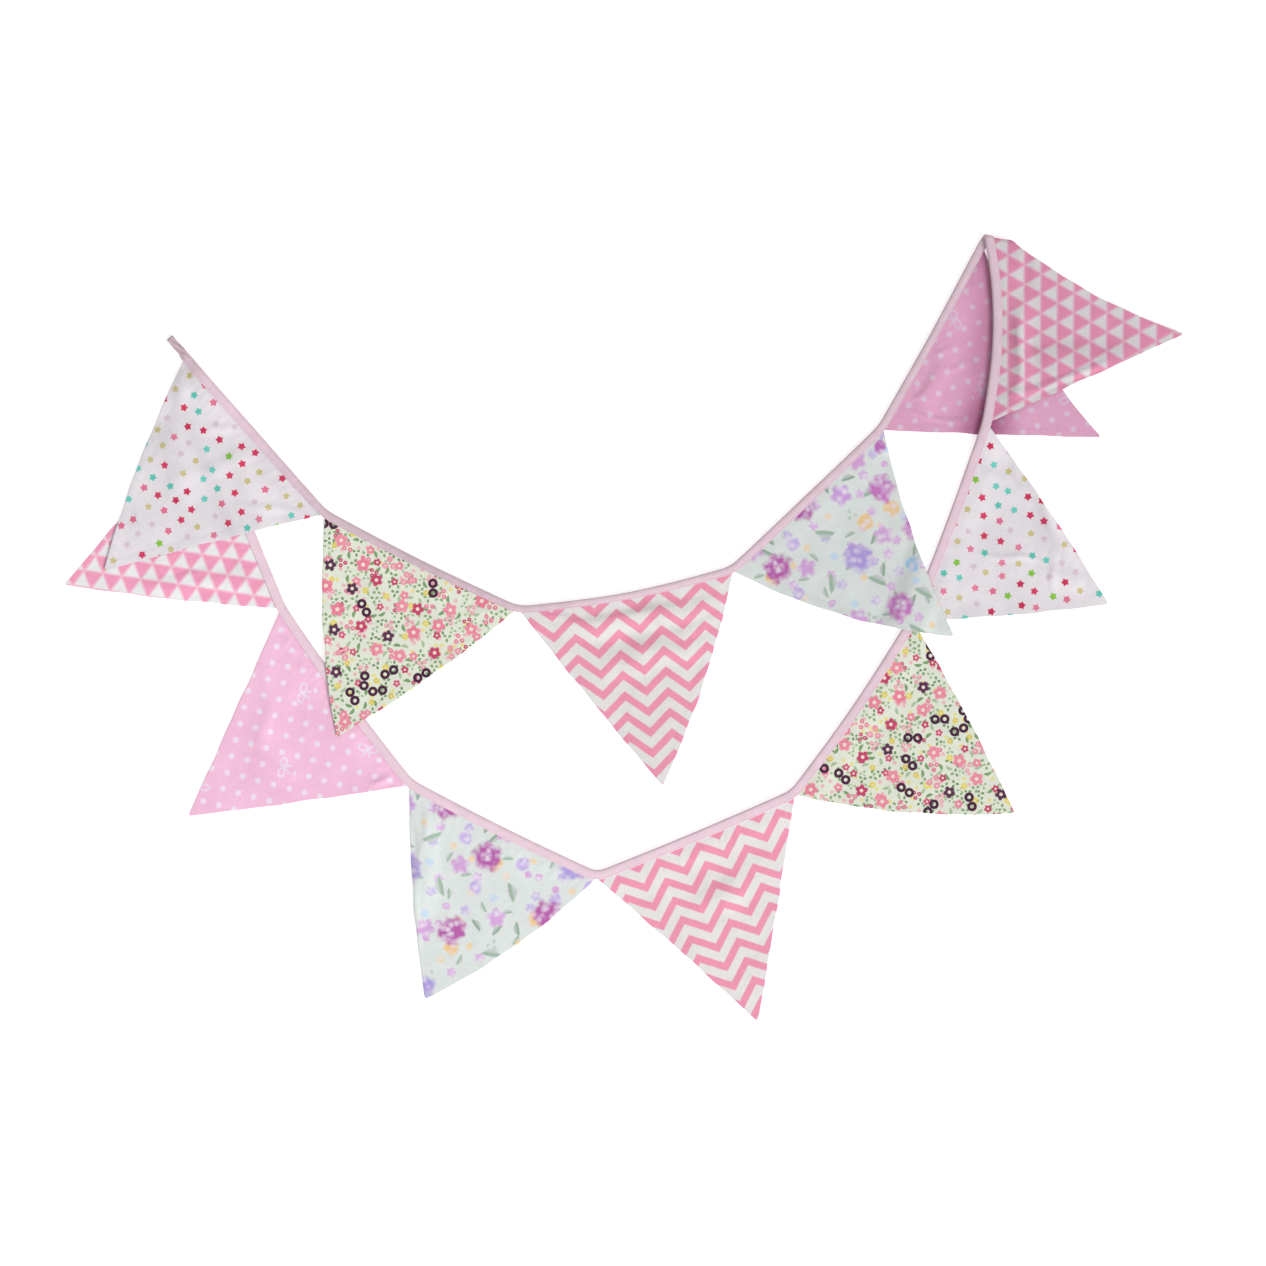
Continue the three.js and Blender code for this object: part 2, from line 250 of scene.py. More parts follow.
RAISED_FOLDS = (
    RaisedFold(1, (0.1, 0.3), (0.5, 0.42), 2.6, 16),
    RaisedFold(1, (0.55, 0.1), (0.95, 0.2), 2.4, 14),
    RaisedFold(3, (0.15, 0.1), (0.95, 0.14), 3.2, 16),
    RaisedFold(3, (0.3, 0.32), (0.95, 0.3), 2.6, 16),
    RaisedFold(5, (0.14, 0.13), (0.4, 0.11), 2.0, 14),
    RaisedFold(6, (0.3, 0.13), (0.95, 0.12), 3.0, 15),
    RaisedFold(6, (0.75, 0.2), (0.9, 0.75), 2.6, 16),
    RaisedFold(7, (0.05, 0.25), (0.12, 0.7), 2.6, 16),
    RaisedFold(7, (0.5, 0.62), (0.3, 0.82), 2.0, 14),
    RaisedFold(9, (0.3, 0.3), (0.6, 0.34), 2.0, 16),
    RaisedFold(10, (0.9, 0.12), (0.9, 0.6), 2.6, 14),
    RaisedFold(11, (0.88, 0.2), (0.45, 0.5), 1.3, 24),
    RaisedFold(12, (0.14, 0.1), (0.14, 0.6), 1.6, 12),
)

CREASES = (
    RaisedFold(1, (0.76, 0.27), (0.98, 0.06), 1.0, 5),
    RaisedFold(1, (0.26, 0.17), (0.39, 0.02), 0.9, 6),
    RaisedFold(1, (0.16, 0.68), (0.8, 0.72), 0.8, 6),
    RaisedFold(1, (0.0, 0.04), (0.13, 0.17), 1.2, 8),
    RaisedFold(1, (0.38, 0.39), (0.59, 0.02), 0.9, 9),
    RaisedFold(2, (0.89, 0.1), (0.97, 0.02), 0.9, 5),
    RaisedFold(3, (0.11, 0.01), (0.32, 0.14), 1.4, 8),
    RaisedFold(3, (0.56, 0.05), (0.79, 0.26), 1.6, 8),
    RaisedFold(3, (0.65, 0.21), (0.98, 0.22), 1.6, 7),
    RaisedFold(3, (0.45, 0.21), (0.58, 0.31), 1.0, 6),
    RaisedFold(4, (0.02, 0.38), (0.04, 0.59), 0.7, 5),
    RaisedFold(4, (0.93, 0.03), (0.99, 0.1), 0.8, 5),
    RaisedFold(5, (0.43, 0.03), (0.49, 0.09), 0.9, 4),
    RaisedFold(5, (0.2, 0.05), (0.26, 0.09), 0.8, 4),
    RaisedFold(5, (0.12, 0.02), (0.09, 0.36), 0.9, 4),
    RaisedFold(5, (0.4, 0.16), (0.48, 0.2), 0.8, 4),
    RaisedFold(6, (0.04, 0.18), (0.42, 0.14), 1.8, 6),
    RaisedFold(6, (0.42, 0.14), (0.9, 0.1), 1.6, 6),
    RaisedFold(6, (0.89, 0.08), (0.84, 0.58), 1.5, 5),
    RaisedFold(7, (0.57, 0.21), (0.43, 0.57), 1.0, 4),
    RaisedFold(7, (0.01, 0.18), (0.1, 0.57), 1.1, 6),
    RaisedFold(7, (0.1, 0.57), (0.06, 0.67), 1.0, 4),
    RaisedFold(7, (0.19, 0.58), (0.75, 0.69), 0.8, 5),
    RaisedFold(7, (0.2, 0.06), (0.09, 0.22), 0.8, 5),
    RaisedFold(7, (0.08, 0.38), (0.2, 0.74), 1.0, 6),
    RaisedFold(9, (0.59, 0.14), (0.43, 0.49), 0.7, 7),
    RaisedFold(10, (0.97, 0.07), (0.98, 0.75), 0.7, 4),
    RaisedFold(10, (0.89, 0.08), (0.94, 0.28), 0.9, 5),
    RaisedFold(11, (0.95, 0.09), (0.77, 0.02), 1.1, 6),
    RaisedFold(11, (0.77, 0.02), (0.71, 0.02), 1.0, 5),
    RaisedFold(11, (0.88, 0.22), (0.53, 0.5), 0.9, 9),
    RaisedFold(11, (0.05, 0.12), (0.07, 0.02), 1.4, 4),
    RaisedFold(11, (0.57, 0.56), (0.26, 0.41), 0.8, 6),
    RaisedFold(12, (0.23, 0.11), (0.05, 0.02), 1.1, 5),
    RaisedFold(12, (0.22, 0.43), (0.23, 0.24), 0.7, 6),
)


# The strip's path and its fold


@dataclass
class LaidString:
    """The tape's middle line, unfolded, and the fold that carries it back over itself."""

    tape_width: float = 9.0
    tape_wall: float = 1.0
    sheet: float = 1.0
    clearance: float = 0.3
    tuck: float = 4.6
    stub_length: float = 22.5
    stub_heading: float = -48.0
    stub_closed: float = 8.0
    stub_bend: float = 2.0
    hidden_end: float = 16.0
    start: tuple[float, float] = (-378.8, 240.9)
    bend_reach: float = 10.0
    step: float = 1.0
    crease_heading: float = -10.7
    past_corner: float = 6.0
    lean_before: tuple[float, float] = (14.0, 4.0)
    lean_after: tuple[float, float] = (6.0, 16.0)
    crease_inner_radius: float = 0.6
    settle_over: float = 80.0
    folded_from: int = 5
    spans: list[tuple[float, float]] = field(init=False, default_factory=list)

    def __post_init__(self) -> None:
        """Works out the levels in the tape, its path and where the fold falls."""
        self.channel = self.sheet + 2 * self.clearance
        self.tape_thickness = 2 * self.tape_wall + self.channel
        self.roll_axis = self.tape_thickness + self.crease_inner_radius
        self.roll_radius = self.roll_axis - self.tape_thickness / 2
        self.roll_length = math.pi * self.roll_radius
        self.measure()
        self.trace()
        angle = math.radians(self.crease_heading)
        self.crease_along = np.array([math.cos(angle), math.sin(angle)])
        self.crease_past = np.array([-math.sin(angle), math.cos(angle)])
        self.fold_place = self.spans[self.folded_from][0] + self.past_corner
        self.fold_point = self.beside_tape(np.array(self.fold_place), 0.0)

    def unfolded_heading(self, index: int, heading: float) -> float:
        """Returns a heading in the unfolded strip: past the fold it is mirrored in the crease."""
        return 2 * self.crease_heading - heading if index >= self.folded_from else heading

    def measure(self) -> None:
        """Adds up gaps and spans, and notes the heading at both ends of each pennant."""
        marks = [(0.0, self.stub_heading), (self.stub_length - self.stub_bend, self.stub_heading)]
        s = self.stub_length
        for index, cut in enumerate(PENNANTS):
            s += cut.gap
            first = self.unfolded_heading(index, cut.heading - cut.turn / 2)
            last = self.unfolded_heading(index, cut.heading + cut.turn / 2)
            marks.append((s + self.bend_reach, first))
            marks.append((s + cut.span - self.bend_reach, last))
            self.spans.append((s, s + cut.span))
            s += cut.span
        self.length = s + self.hidden_end
        marks.append((self.length, marks[-1][1]))
        self.mark_places, self.mark_headings = np.array(marks).T

    def heading_at(self, s: Array) -> Array:
        """Returns the heading in radians, which turns smoothly from mark to mark."""
        i = np.clip(np.searchsorted(self.mark_places, s, side="left"), 1, len(self.mark_places) - 1)
        share = smooth(self.mark_places[i - 1], self.mark_places[i], s)
        return np.radians(mix(self.mark_headings[i - 1], self.mark_headings[i], share))

    def trace(self) -> None:
        """Finds points of the middle line a step apart by adding up its heading."""
        steps = math.ceil(self.length / self.step)
        angles = self.heading_at((np.arange(steps) + 0.5) * self.step)
        moves = self.step * np.stack([np.cos(angles), np.sin(angles)], axis=1)
        self.path = np.vstack([self.start, np.array(self.start) + np.cumsum(moves, axis=0)])

    def lean_at(self, s: Array) -> Array:
        """Returns how far lines across the tape lean over, so that near the fold they lie along
        the crease: the tangent of the angle between the crease and the square line."""
        roll_end = self.fold_place + self.roll_length
        near = smooth(self.fold_place - self.lean_before[0], self.fold_place - self.lean_before[1], s)
        far = smooth(roll_end + self.lean_after[0], roll_end + self.lean_after[1], s)
        return near * (1 - far) * np.tan(math.radians(self.crease_heading + 90) - self.heading_at(s))

    def beside_tape(self, along: Array, across: Any) -> Array:
        """Finds points beside the middle line.

        Args:
            along: places along the tape, in millimetres.
            across: distances to its right, where the pennants are.

        Returns:
            The points: the path's own point plus the distance along its normal.
        """
        s = along + across * self.lean_at(along)
        # The last place stays just short of the path's last point, so that a point follows it
        place = np.clip(s / self.step, 0, len(self.path) - 1.001)
        i = np.floor(place).astype(int)
        middle = along_line(self.path[i], self.path[i + 1], place - i)
        angle = self.heading_at(s)
        normal = np.stack([np.sin(angle), -np.cos(angle)], axis=-1)
        return middle + normal * np.asarray(across + np.zeros_like(s))[..., None]

    def fold_over(self, points: Array, height: Any) -> tuple[Array, Array, Array]:
        """Carries points of the unfolded strip over the crease.

        Args:
            points: points of the flat strip.
            height: their levels in the strip's own thickness.

        Returns:
            The folded places, the angle turned round the roll, and the length beyond it. Before
            the crease a point stays, on the roll it goes round by its distance past the crease
            over the radius, and beyond it it comes back by what is left.
        """
        offset = points - self.fold_point
        along = dot(offset, self.crease_along)
        past = dot(offset, self.crease_past)
        turned = np.clip(past / self.roll_radius, 0.0, math.pi)
        beyond = np.maximum(0.0, past - self.roll_length)
        reach = np.minimum(past, 0.0) + (self.roll_axis - height) * np.sin(turned) - beyond
        place = self.fold_point + along[..., None] * self.crease_along
        return place + reach[..., None] * self.crease_past, turned, beyond

    def laid(self, index: int, points: Array, height: Any = 0.0) -> Array:
        """Returns points as laid: folded over from the first folded pennant on."""
        return self.fold_over(points, height)[0] if index >= self.folded_from else points

    def settle(self, index: int, points: Array, height: Any, middle: Any, bed: Any) -> Array:
        """Puts points of the strip in their places in space.

        Args:
            index: the pennant that they belong to.
            points: points of the unfolded strip.
            height: their levels in the strip's own thickness.
            middle: the level about which the strip turns over at the fold.
            bed: the height of what lies beneath.

        Returns:
            Points in millimetres: bed plus height before the fold, and past it the turned
            level, which comes down from the roll to the bed over the settling length.
        """
        if index < self.folded_from:
            z = bed + height + np.zeros(points.shape[:-1])
            return np.concatenate([points, z[..., None]], axis=-1)
        place, turned, beyond = self.fold_over(points, height)
        rolled = self.roll_axis - (self.roll_axis - height) * np.cos(turned)
        z = mix(rolled, bed + 2 * middle - height, smooth(0, self.settle_over, beyond))
        return np.concatenate([place, z[..., None]], axis=-1)


# Pennant outlines and beds


@dataclass
class PennantShape:
    """The outline and folds of one pennant, flat in the unfolded strip."""

    string: LaidString
    index: int
    tip_width: float = 1.8
    wander: float = 2.6
    wander_length: float = 11.0
    wander_twist: float = 1.7
    wander_slowness: float = 0.6
    swell_at_end: float = 0.04
    swell_scale: float = 1.17
    edge_wave: float = 0.3
    edge_waves: tuple[float, float] = (17.0, 31.0)
    phase_step: float = 1.7
    tape_overlap: float = 4.0

    def __post_init__(self) -> None:
        """Finds the two top corners, the tip and the straight axes of the cut."""
        self.cut = PENNANTS[self.index]
        self.start, self.end = self.string.spans[self.index]
        half = self.string.tape_width / 2
        self.near = self.string.beside_tape(np.array(self.start), half)
        self.far = self.string.beside_tape(np.array(self.end), half)
        line = self.far - self.near
        self.along = line / np.linalg.norm(line)
        self.out = np.array([self.along[1], -self.along[0]])
        self.middle = (self.near + self.far) / 2
        self.tip = self.middle + self.cut.lean * self.along + self.cut.depth * self.out

    @property
    def node(self) -> str:
        """Returns the name of the CAD node that this pennant stands for."""
        return f"pennant_{self.index + 1:02d}_{self.cut.cloth.value}"

    def side_edge(self, corner: Array, tip: Array, bow: float, side: int, v: Array) -> Array:
        """Returns a side edge: the straight line, swollen by its bow and a slight sewn wave."""
        line = tip - corner
        swell = side * np.array([-line[1], line[0]]) / np.linalg.norm(line)
        phase = self.phase_step * self.index + side
        slow, quick = self.edge_waves
        wave = np.sin(math.pi * v) * (np.sin(slow * v + phase) + np.sin(quick * v - phase))
        out = bow * 4 * v * (1 - v) + self.edge_wave * wave
        return corner + v[..., None] * line + out[..., None] * swell

    def point(self, u: Array, v: Array) -> Array:
        """Finds points of the flat pennant.

        Args:
            u: shares from the near top corner to the far one.
            v: shares from the tape to the tip.

        Returns:
            The point at share u between the two side edges, moved with the tape's own curve,
            which dies away towards the tip.
        """
        u = np.asarray(u, dtype=float)
        v = np.asarray(v, dtype=float)
        half = self.tip_width / 2 * self.along
        near_side = self.side_edge(self.near, self.tip - half, self.cut.near_bow, -1, v)
        far_side = self.side_edge(self.far, self.tip + half, self.cut.far_bow, 1, v)
        chord = along_line(self.near, self.far, u)
        curved = self.string.beside_tape(mix(self.start, self.end, u), self.string.tape_width / 2)
        straight = near_side + u[..., None] * (far_side - near_side)
        return straight + (1 - v)[..., None] * (curved - chord)

    def outline(self, steps: int = 12) -> Array:
        """Returns the laid outline as a closed loop of points."""
        share = np.arange(steps) / steps
        top = self.point(share, np.zeros(steps))
        far = self.point(np.ones(steps), share)
        near = self.point(np.zeros(steps), 1 - share)
        return self.string.laid(self.index, np.vstack([top, far, near]))

    def laid_tape(self, steps: int = 10) -> Array:
        """Returns the laid middle line of the tape along this pennant and its gaps."""
        last = self.string.hidden_end if self.index == len(PENNANTS) - 1 else self.tape_overlap
        places = mix(self.start - self.tape_overlap, self.end + last, np.arange(steps + 1) / steps)
        return self.string.laid(self.index, self.string.beside_tape(places, 0.0))

    def raised(self, points: Array, from_tape: Array) -> Array:
        """Returns the height of the raised folds and the small creases.

        The places are first moved by two slow waves, so that the ridges wander, and each ridge
        fades beside the tape.

        Args:
            points: places on the unfolded strip.
            from_tape: their distances from the tape's inner edge.

        Returns:
            The height at each place.
        """
        height = np.zeros(points.shape[:-1])
        slow = points / self.wander_length + self.index
        twist = self.wander_twist * np.sin(self.wander_slowness * slow[..., ::-1])
        points = points + self.wander * np.sin(slow + twist)[..., ::-1]
        for ridges, fade in ((RAISED_FOLDS, FOLD_FADE), (CREASES, CREASE_FADE)):
            shown = smooth(fade / 3, fade, from_tape)
            for ridge in ridges:
                if ridge.pennant == self.index + 1:
                    height += shown * self.ridge(ridge, points)
        return height

    def ridge(self, ridge: RaisedFold, points: Array) -> Array:
        """Finds the height of one ridge.

        Args:
            ridge: the ridge.
            points: places on the unfolded strip.

        Returns:
            The square of one less the squared share of the reach, times the ridge's height and
            a swell that is the root of a parabola from end to end.
        """
        a = self.point(*ridge.start)
        b = self.point(*ridge.end)
        away = np.minimum(1.0, away_from_line(points, a, b) / ridge.reach)
        share = np.clip(dot(points - a, b - a) / dot(b - a, b - a), 0, 1)
        end = self.swell_at_end
        swell = np.sqrt(4 * (share + end) * (1 + end - share) / self.swell_scale)
        return ridge.height * swell * (1 - away * away) ** 2


@dataclass
class Bed:
    """The height of what lies under each piece: a soft maximum over cloth and tape."""

    string: LaidString
    shapes: list[PennantShape]
    lay_over: float = 0.8
    edge_margin: float = 3.5
    edge_ramp: float = 20.0
    lift_start: float = 2.0
    lift_end: float = 28.0
    sharpness: int = 6

    def lift_at(self, from_tape: Array) -> Array:
        """Returns how high a pennant's underside is lifted into the tape's channel."""
        rise = self.string.tape_wall + self.string.clearance
        return rise * (1 - smooth(self.lift_start, self.lift_end, from_tape))

    def held(self, height: Any, distance: Array) -> Array:
        """Returns the sixth power of the height at which a piece holds up what lies over it, at
        a distance from its edge."""
        part = 1 - smooth(self.edge_margin, self.edge_margin + self.edge_ramp, distance)
        return (height * part) ** self.sharpness

    def under(self, index: int, places: Array) -> Array:
        """Finds the bed's height under one pennant.

        Args:
            index: the pennant that lies on the bed.
            places: laid places, in millimetres.

        Returns:
            The sixth root of the sum of the sixth powers of what each piece holds up.
        """
        total = np.zeros(places.shape[:-1])
        half = self.string.tape_width / 2
        for underlay in UNDERLAYS:
            if underlay.over != index + 1:
                continue
            for number in underlay.pennants:
                shape = self.shapes[number - 1]
                from_tape = np.maximum(0, distance_to(shape.laid_tape(), False, places) - half)
                height = self.string.sheet + self.lay_over + self.lift_at(from_tape)
                total += self.held(height, distance_to(shape.outline(), True, places))
            for number in underlay.tape:
                line = self.shapes[number - 1].laid_tape()
                height = self.string.tape_thickness + self.lay_over
                total += self.held(height, distance_to(line, False, places) - half)
        return total ** (1 / self.sharpness)

    def pieces_under(self, index: int) -> list[str]:
        """Returns the names of the pieces that a pennant lies on, the paper first."""
        names = ["background_paper"]
        for underlay in UNDERLAYS:
            if underlay.over == index + 1:
                names += [self.shapes[number - 1].node + "_cloth" for number in underlay.pennants]
                names += ["binding_tape_cloth"] if underlay.tape else []
        return names

    def under_tape(self, index: int, s: Array) -> Array:
        """Returns the bed under the tape, level across it at the highest of its edges and middle."""
        half = self.string.tape_width / 2
        heights = [
            self.under(index, self.string.laid(index, self.string.beside_tape(s, across)))
            for across in (-half, 0.0, half)
        ]
        return np.max(heights, axis=0)


# Meshes


def grid_quads(rows: int, columns: int, first: int = 0, wrap: bool = False) -> Array:
    """Joins a grid of points into four-sided faces.

    Args:
        rows: rows of points.
        columns: points in each row.
        first: number of the grid's first point.
        wrap: whether the last column joins the first.

    Returns:
        One row of four point numbers for each face.
    """
    last = columns if wrap else columns - 1
    r, c = np.meshgrid(np.arange(rows - 1), np.arange(last), indexing="ij")
    after = (c + 1) % columns
    corners = [r * columns + c, r * columns + after, (r + 1) * columns + after, (r + 1) * columns + c]
    return first + np.stack([corner.ravel() for corner in corners], axis=1)


def make_piece(name: str, points: Array, *face_sets: Array) -> Piece:
    """Makes a smooth-shaded object from points and faces.

    Args:
        name: the piece's name.
        points: its points, in millimetres.
        face_sets: sets of faces, each with a row of point numbers for each face.

    Returns:
        The object, at the origin, with its mesh in metres.
    """
    mesh = bpy.data.meshes.new(name)
    faces = [face for face_set in face_sets for face in face_set.tolist()]
    mesh.from_pydata((points * MM).tolist(), [], faces)
    mesh.update()
    mesh.shade_smooth()
    piece = bpy.data.objects.new(name, mesh)
    bpy.context.scene.collection.objects.link(piece)
    return piece


def add_values(mesh: Mesh, name: str, values: Array) -> None:
    """Gives each point of a mesh a number, which its material reads by name."""
    layer = mesh.attributes.new(name, "FLOAT", "POINT")
    layer.data.foreach_set("value", values.astype(np.float32))


def map_flat(mesh: Mesh, flat: Array) -> Array:
    """Gives a mesh its UV map of the flat cut, in millimetres.

    Args:
        mesh: the mesh.
        flat: the flat place of each point.

    Returns:
        The flat place of each face corner.
    """
    corners = np.empty(len(mesh.loops), dtype=np.int32)
    mesh.loops.foreach_get("vertex_index", corners)
    layer = mesh.uv_layers.new(name=FLAT_MAP)
    layer.uv.foreach_set("vector", flat[corners].astype(np.float32).ravel())
    return flat[corners]


# Printed motifs


class Shape(Enum):
    """What a printed motif is drawn as.

    The value is the number that the material reads, and MotifPrint has a method of the same
    name that draws it.
    """

    STAR = 0
    FLOWER = 1
    LEAF = 2
    SPRAY = 3
    PAIR = 4
    CLUSTER = 5
    BLOT = 6
    BOW = 7


# The points of a star and the petals of a flower
POINTS = 5


@dataclass(frozen=True)
class Motif:
    """A kind of motif on a cloth: its shape, its radius in millimetres and its ink."""

    shape: Shape
    radius: float
    ink: str


@dataclass(frozen=True)
class MotifLayer:
    """A layer of scattered motifs, one to each cell of a half-drop repeat.

    Each cell's motif is drawn from the list by a seeded draw, moved off its centre by up to
    the jitter, and turned at random, or by quarter turns where straight is set.
    """

    pitch: float
    jitter: float
    motifs: tuple[Motif, ...]
    seed: int
    straight: bool = False
    spread: float = 170.0
    depth: float = 240.0

    def places(self) -> tuple[Array, Array, list[Motif]]:
        """Lays out the motifs.

        Returns:
            Their centres and turns, and which motif each one is.
        """
        rng = np.random.default_rng(self.seed)
        columns = np.arange(-self.spread, self.spread, self.pitch)
        rows = np.arange(-self.spread, self.depth, self.pitch)
        x, y = np.meshgrid(columns, rows)
        y = y + (np.arange(len(columns)) % 2) * self.pitch / 2
        centres = np.stack([x.ravel(), y.ravel()], axis=1)
        centres += rng.uniform(-self.jitter, self.jitter, centres.shape)
        turns = rng.uniform(0, 2 * math.pi, len(centres))
        if self.straight:
            turns = np.round(turns / (math.pi / 2)) * math.pi / 2
        order = rng.permutation(np.arange(len(centres)) % len(self.motifs))
        return centres, turns, [self.motifs[i] for i in order]

    def stamp(self, mesh: Mesh, name: str, flat: Array) -> None:
        """Writes the layer to a mesh.

        Each face takes the motif that is nearest for its size, and each of its corners that
        motif's own coordinates: the offset from its centre, turned back and divided by its
        radius, with the shape's number as the third one.

        Args:
            mesh: a mesh of four-sided faces.
            name: what its attributes are called.
            flat: the flat place of each face corner.
        """
        centres, turns, motifs = self.places()
        low = flat.min(axis=0) - self.pitch
        high = flat.max(axis=0) + self.pitch
        near = np.all((centres > low) & (centres < high), axis=1)
        centres, turns = centres[near], turns[near]
        motifs = [motif for motif, kept in zip(motifs, near) if kept]
        radii = np.array([motif.radius for motif in motifs])
        face_middle = flat.reshape(-1, 4, 2).mean(axis=1)
        squares = (face_middle**2).sum(axis=1)[:, None] + (centres**2).sum(axis=1)[None]
        gaps = np.sqrt(np.maximum(0, squares - 2 * face_middle @ centres.T))
        chosen = np.repeat(np.argmin(gaps - radii, axis=1), 4)
        offset = (flat - centres[chosen]) / radii[chosen][:, None]
        cos = np.cos(turns[chosen])
        sin = np.sin(turns[chosen])
        shape = np.array([float(motif.shape.value) for motif in motifs])[chosen]
        x = cos * offset[:, 0] + sin * offset[:, 1]
        y = cos * offset[:, 1] - sin * offset[:, 0]
        local = np.stack([x, y, shape], axis=1)
        inks = np.array([linear(motif.ink) for motif in motifs])[chosen]
        places = mesh.attributes.new(f"{name}_place", "FLOAT_VECTOR", "CORNER")
        places.data.foreach_set("vector", local.astype(np.float32).ravel())
        colours = mesh.attributes.new(f"{name}_ink", "FLOAT_COLOR", "CORNER")
        colours.data.foreach_set("color", inks.astype(np.float32).ravel())


# Materials


def linear(colour: str) -> tuple[float, float, float, float]:
    """Turns an sRGB hex colour to a linear one, with full opacity."""
    parts = [int(colour[i : i + 2], 16) / 255 for i in (1, 3, 5)]
    red, green, blue = (p / 12.92 if p <= 0.04045 else ((p + 0.055) / 1.055) ** 2.4 for p in parts)
    return red, green, blue, 1.0


class Nodes:
    """The nodes of one new material."""

    def __init__(self, name: str) -> None:
        """Makes the material with its shader."""
        self.material = bpy.data.materials.new(name)
        self.material.use_nodes = True
        self.tree = self.material.node_tree

    def feed(self, socket: Socket, value: Any) -> None:
        """Gives a socket its value.

        Args:
            socket: the socket.
            value: a number or colour, a node whose first output goes there, a socket that goes
                there, or None to leave it as it is.
        """
        if isinstance(value, bpy.types.Node):
            value = next(output for output in value.outputs if output.enabled)
        if isinstance(value, Socket):
            self.tree.links.new(value, socket)
        elif value is not None:
            socket.default_value = value

    def add(self, kind: str, *values: Any, **settings: Any) -> bpy.types.Node:
        """Adds a node with its settings and links.

        Args:
            kind: the node's type without the word ShaderNode, and after a space its operation
                where it has one.
            values: what feeds each of its sockets in turn.
            settings: its properties, and with sockets= a dictionary of further values by name.

        Returns:
            The node.
        """
        kind, _, operation = kind.partition(" ")
        node = self.tree.nodes.new("ShaderNode" + kind)
        if operation:
            node.operation = operation
        named = settings.pop("sockets", {})
        for name, value in settings.items():
            setattr(node, name, value)
        for socket, value in zip([socket for socket in node.inputs if socket.enabled], values):
            self.feed(socket, value)
        for name, value in named.items():
            self.feed(node.inputs[name], value)
        return node

    def finish(self, sockets: dict[str, Any]) -> Material:
        """Gives the shader's sockets their values by name, and returns the material."""
        for name, value in sockets.items():
            self.feed(self.tree.nodes["Principled BSDF"].inputs[name], value)
        return self.material


# The middle part of a noise's range, where nearly all of its values lie
NOISE_RANGE = (0.3, 0.7)


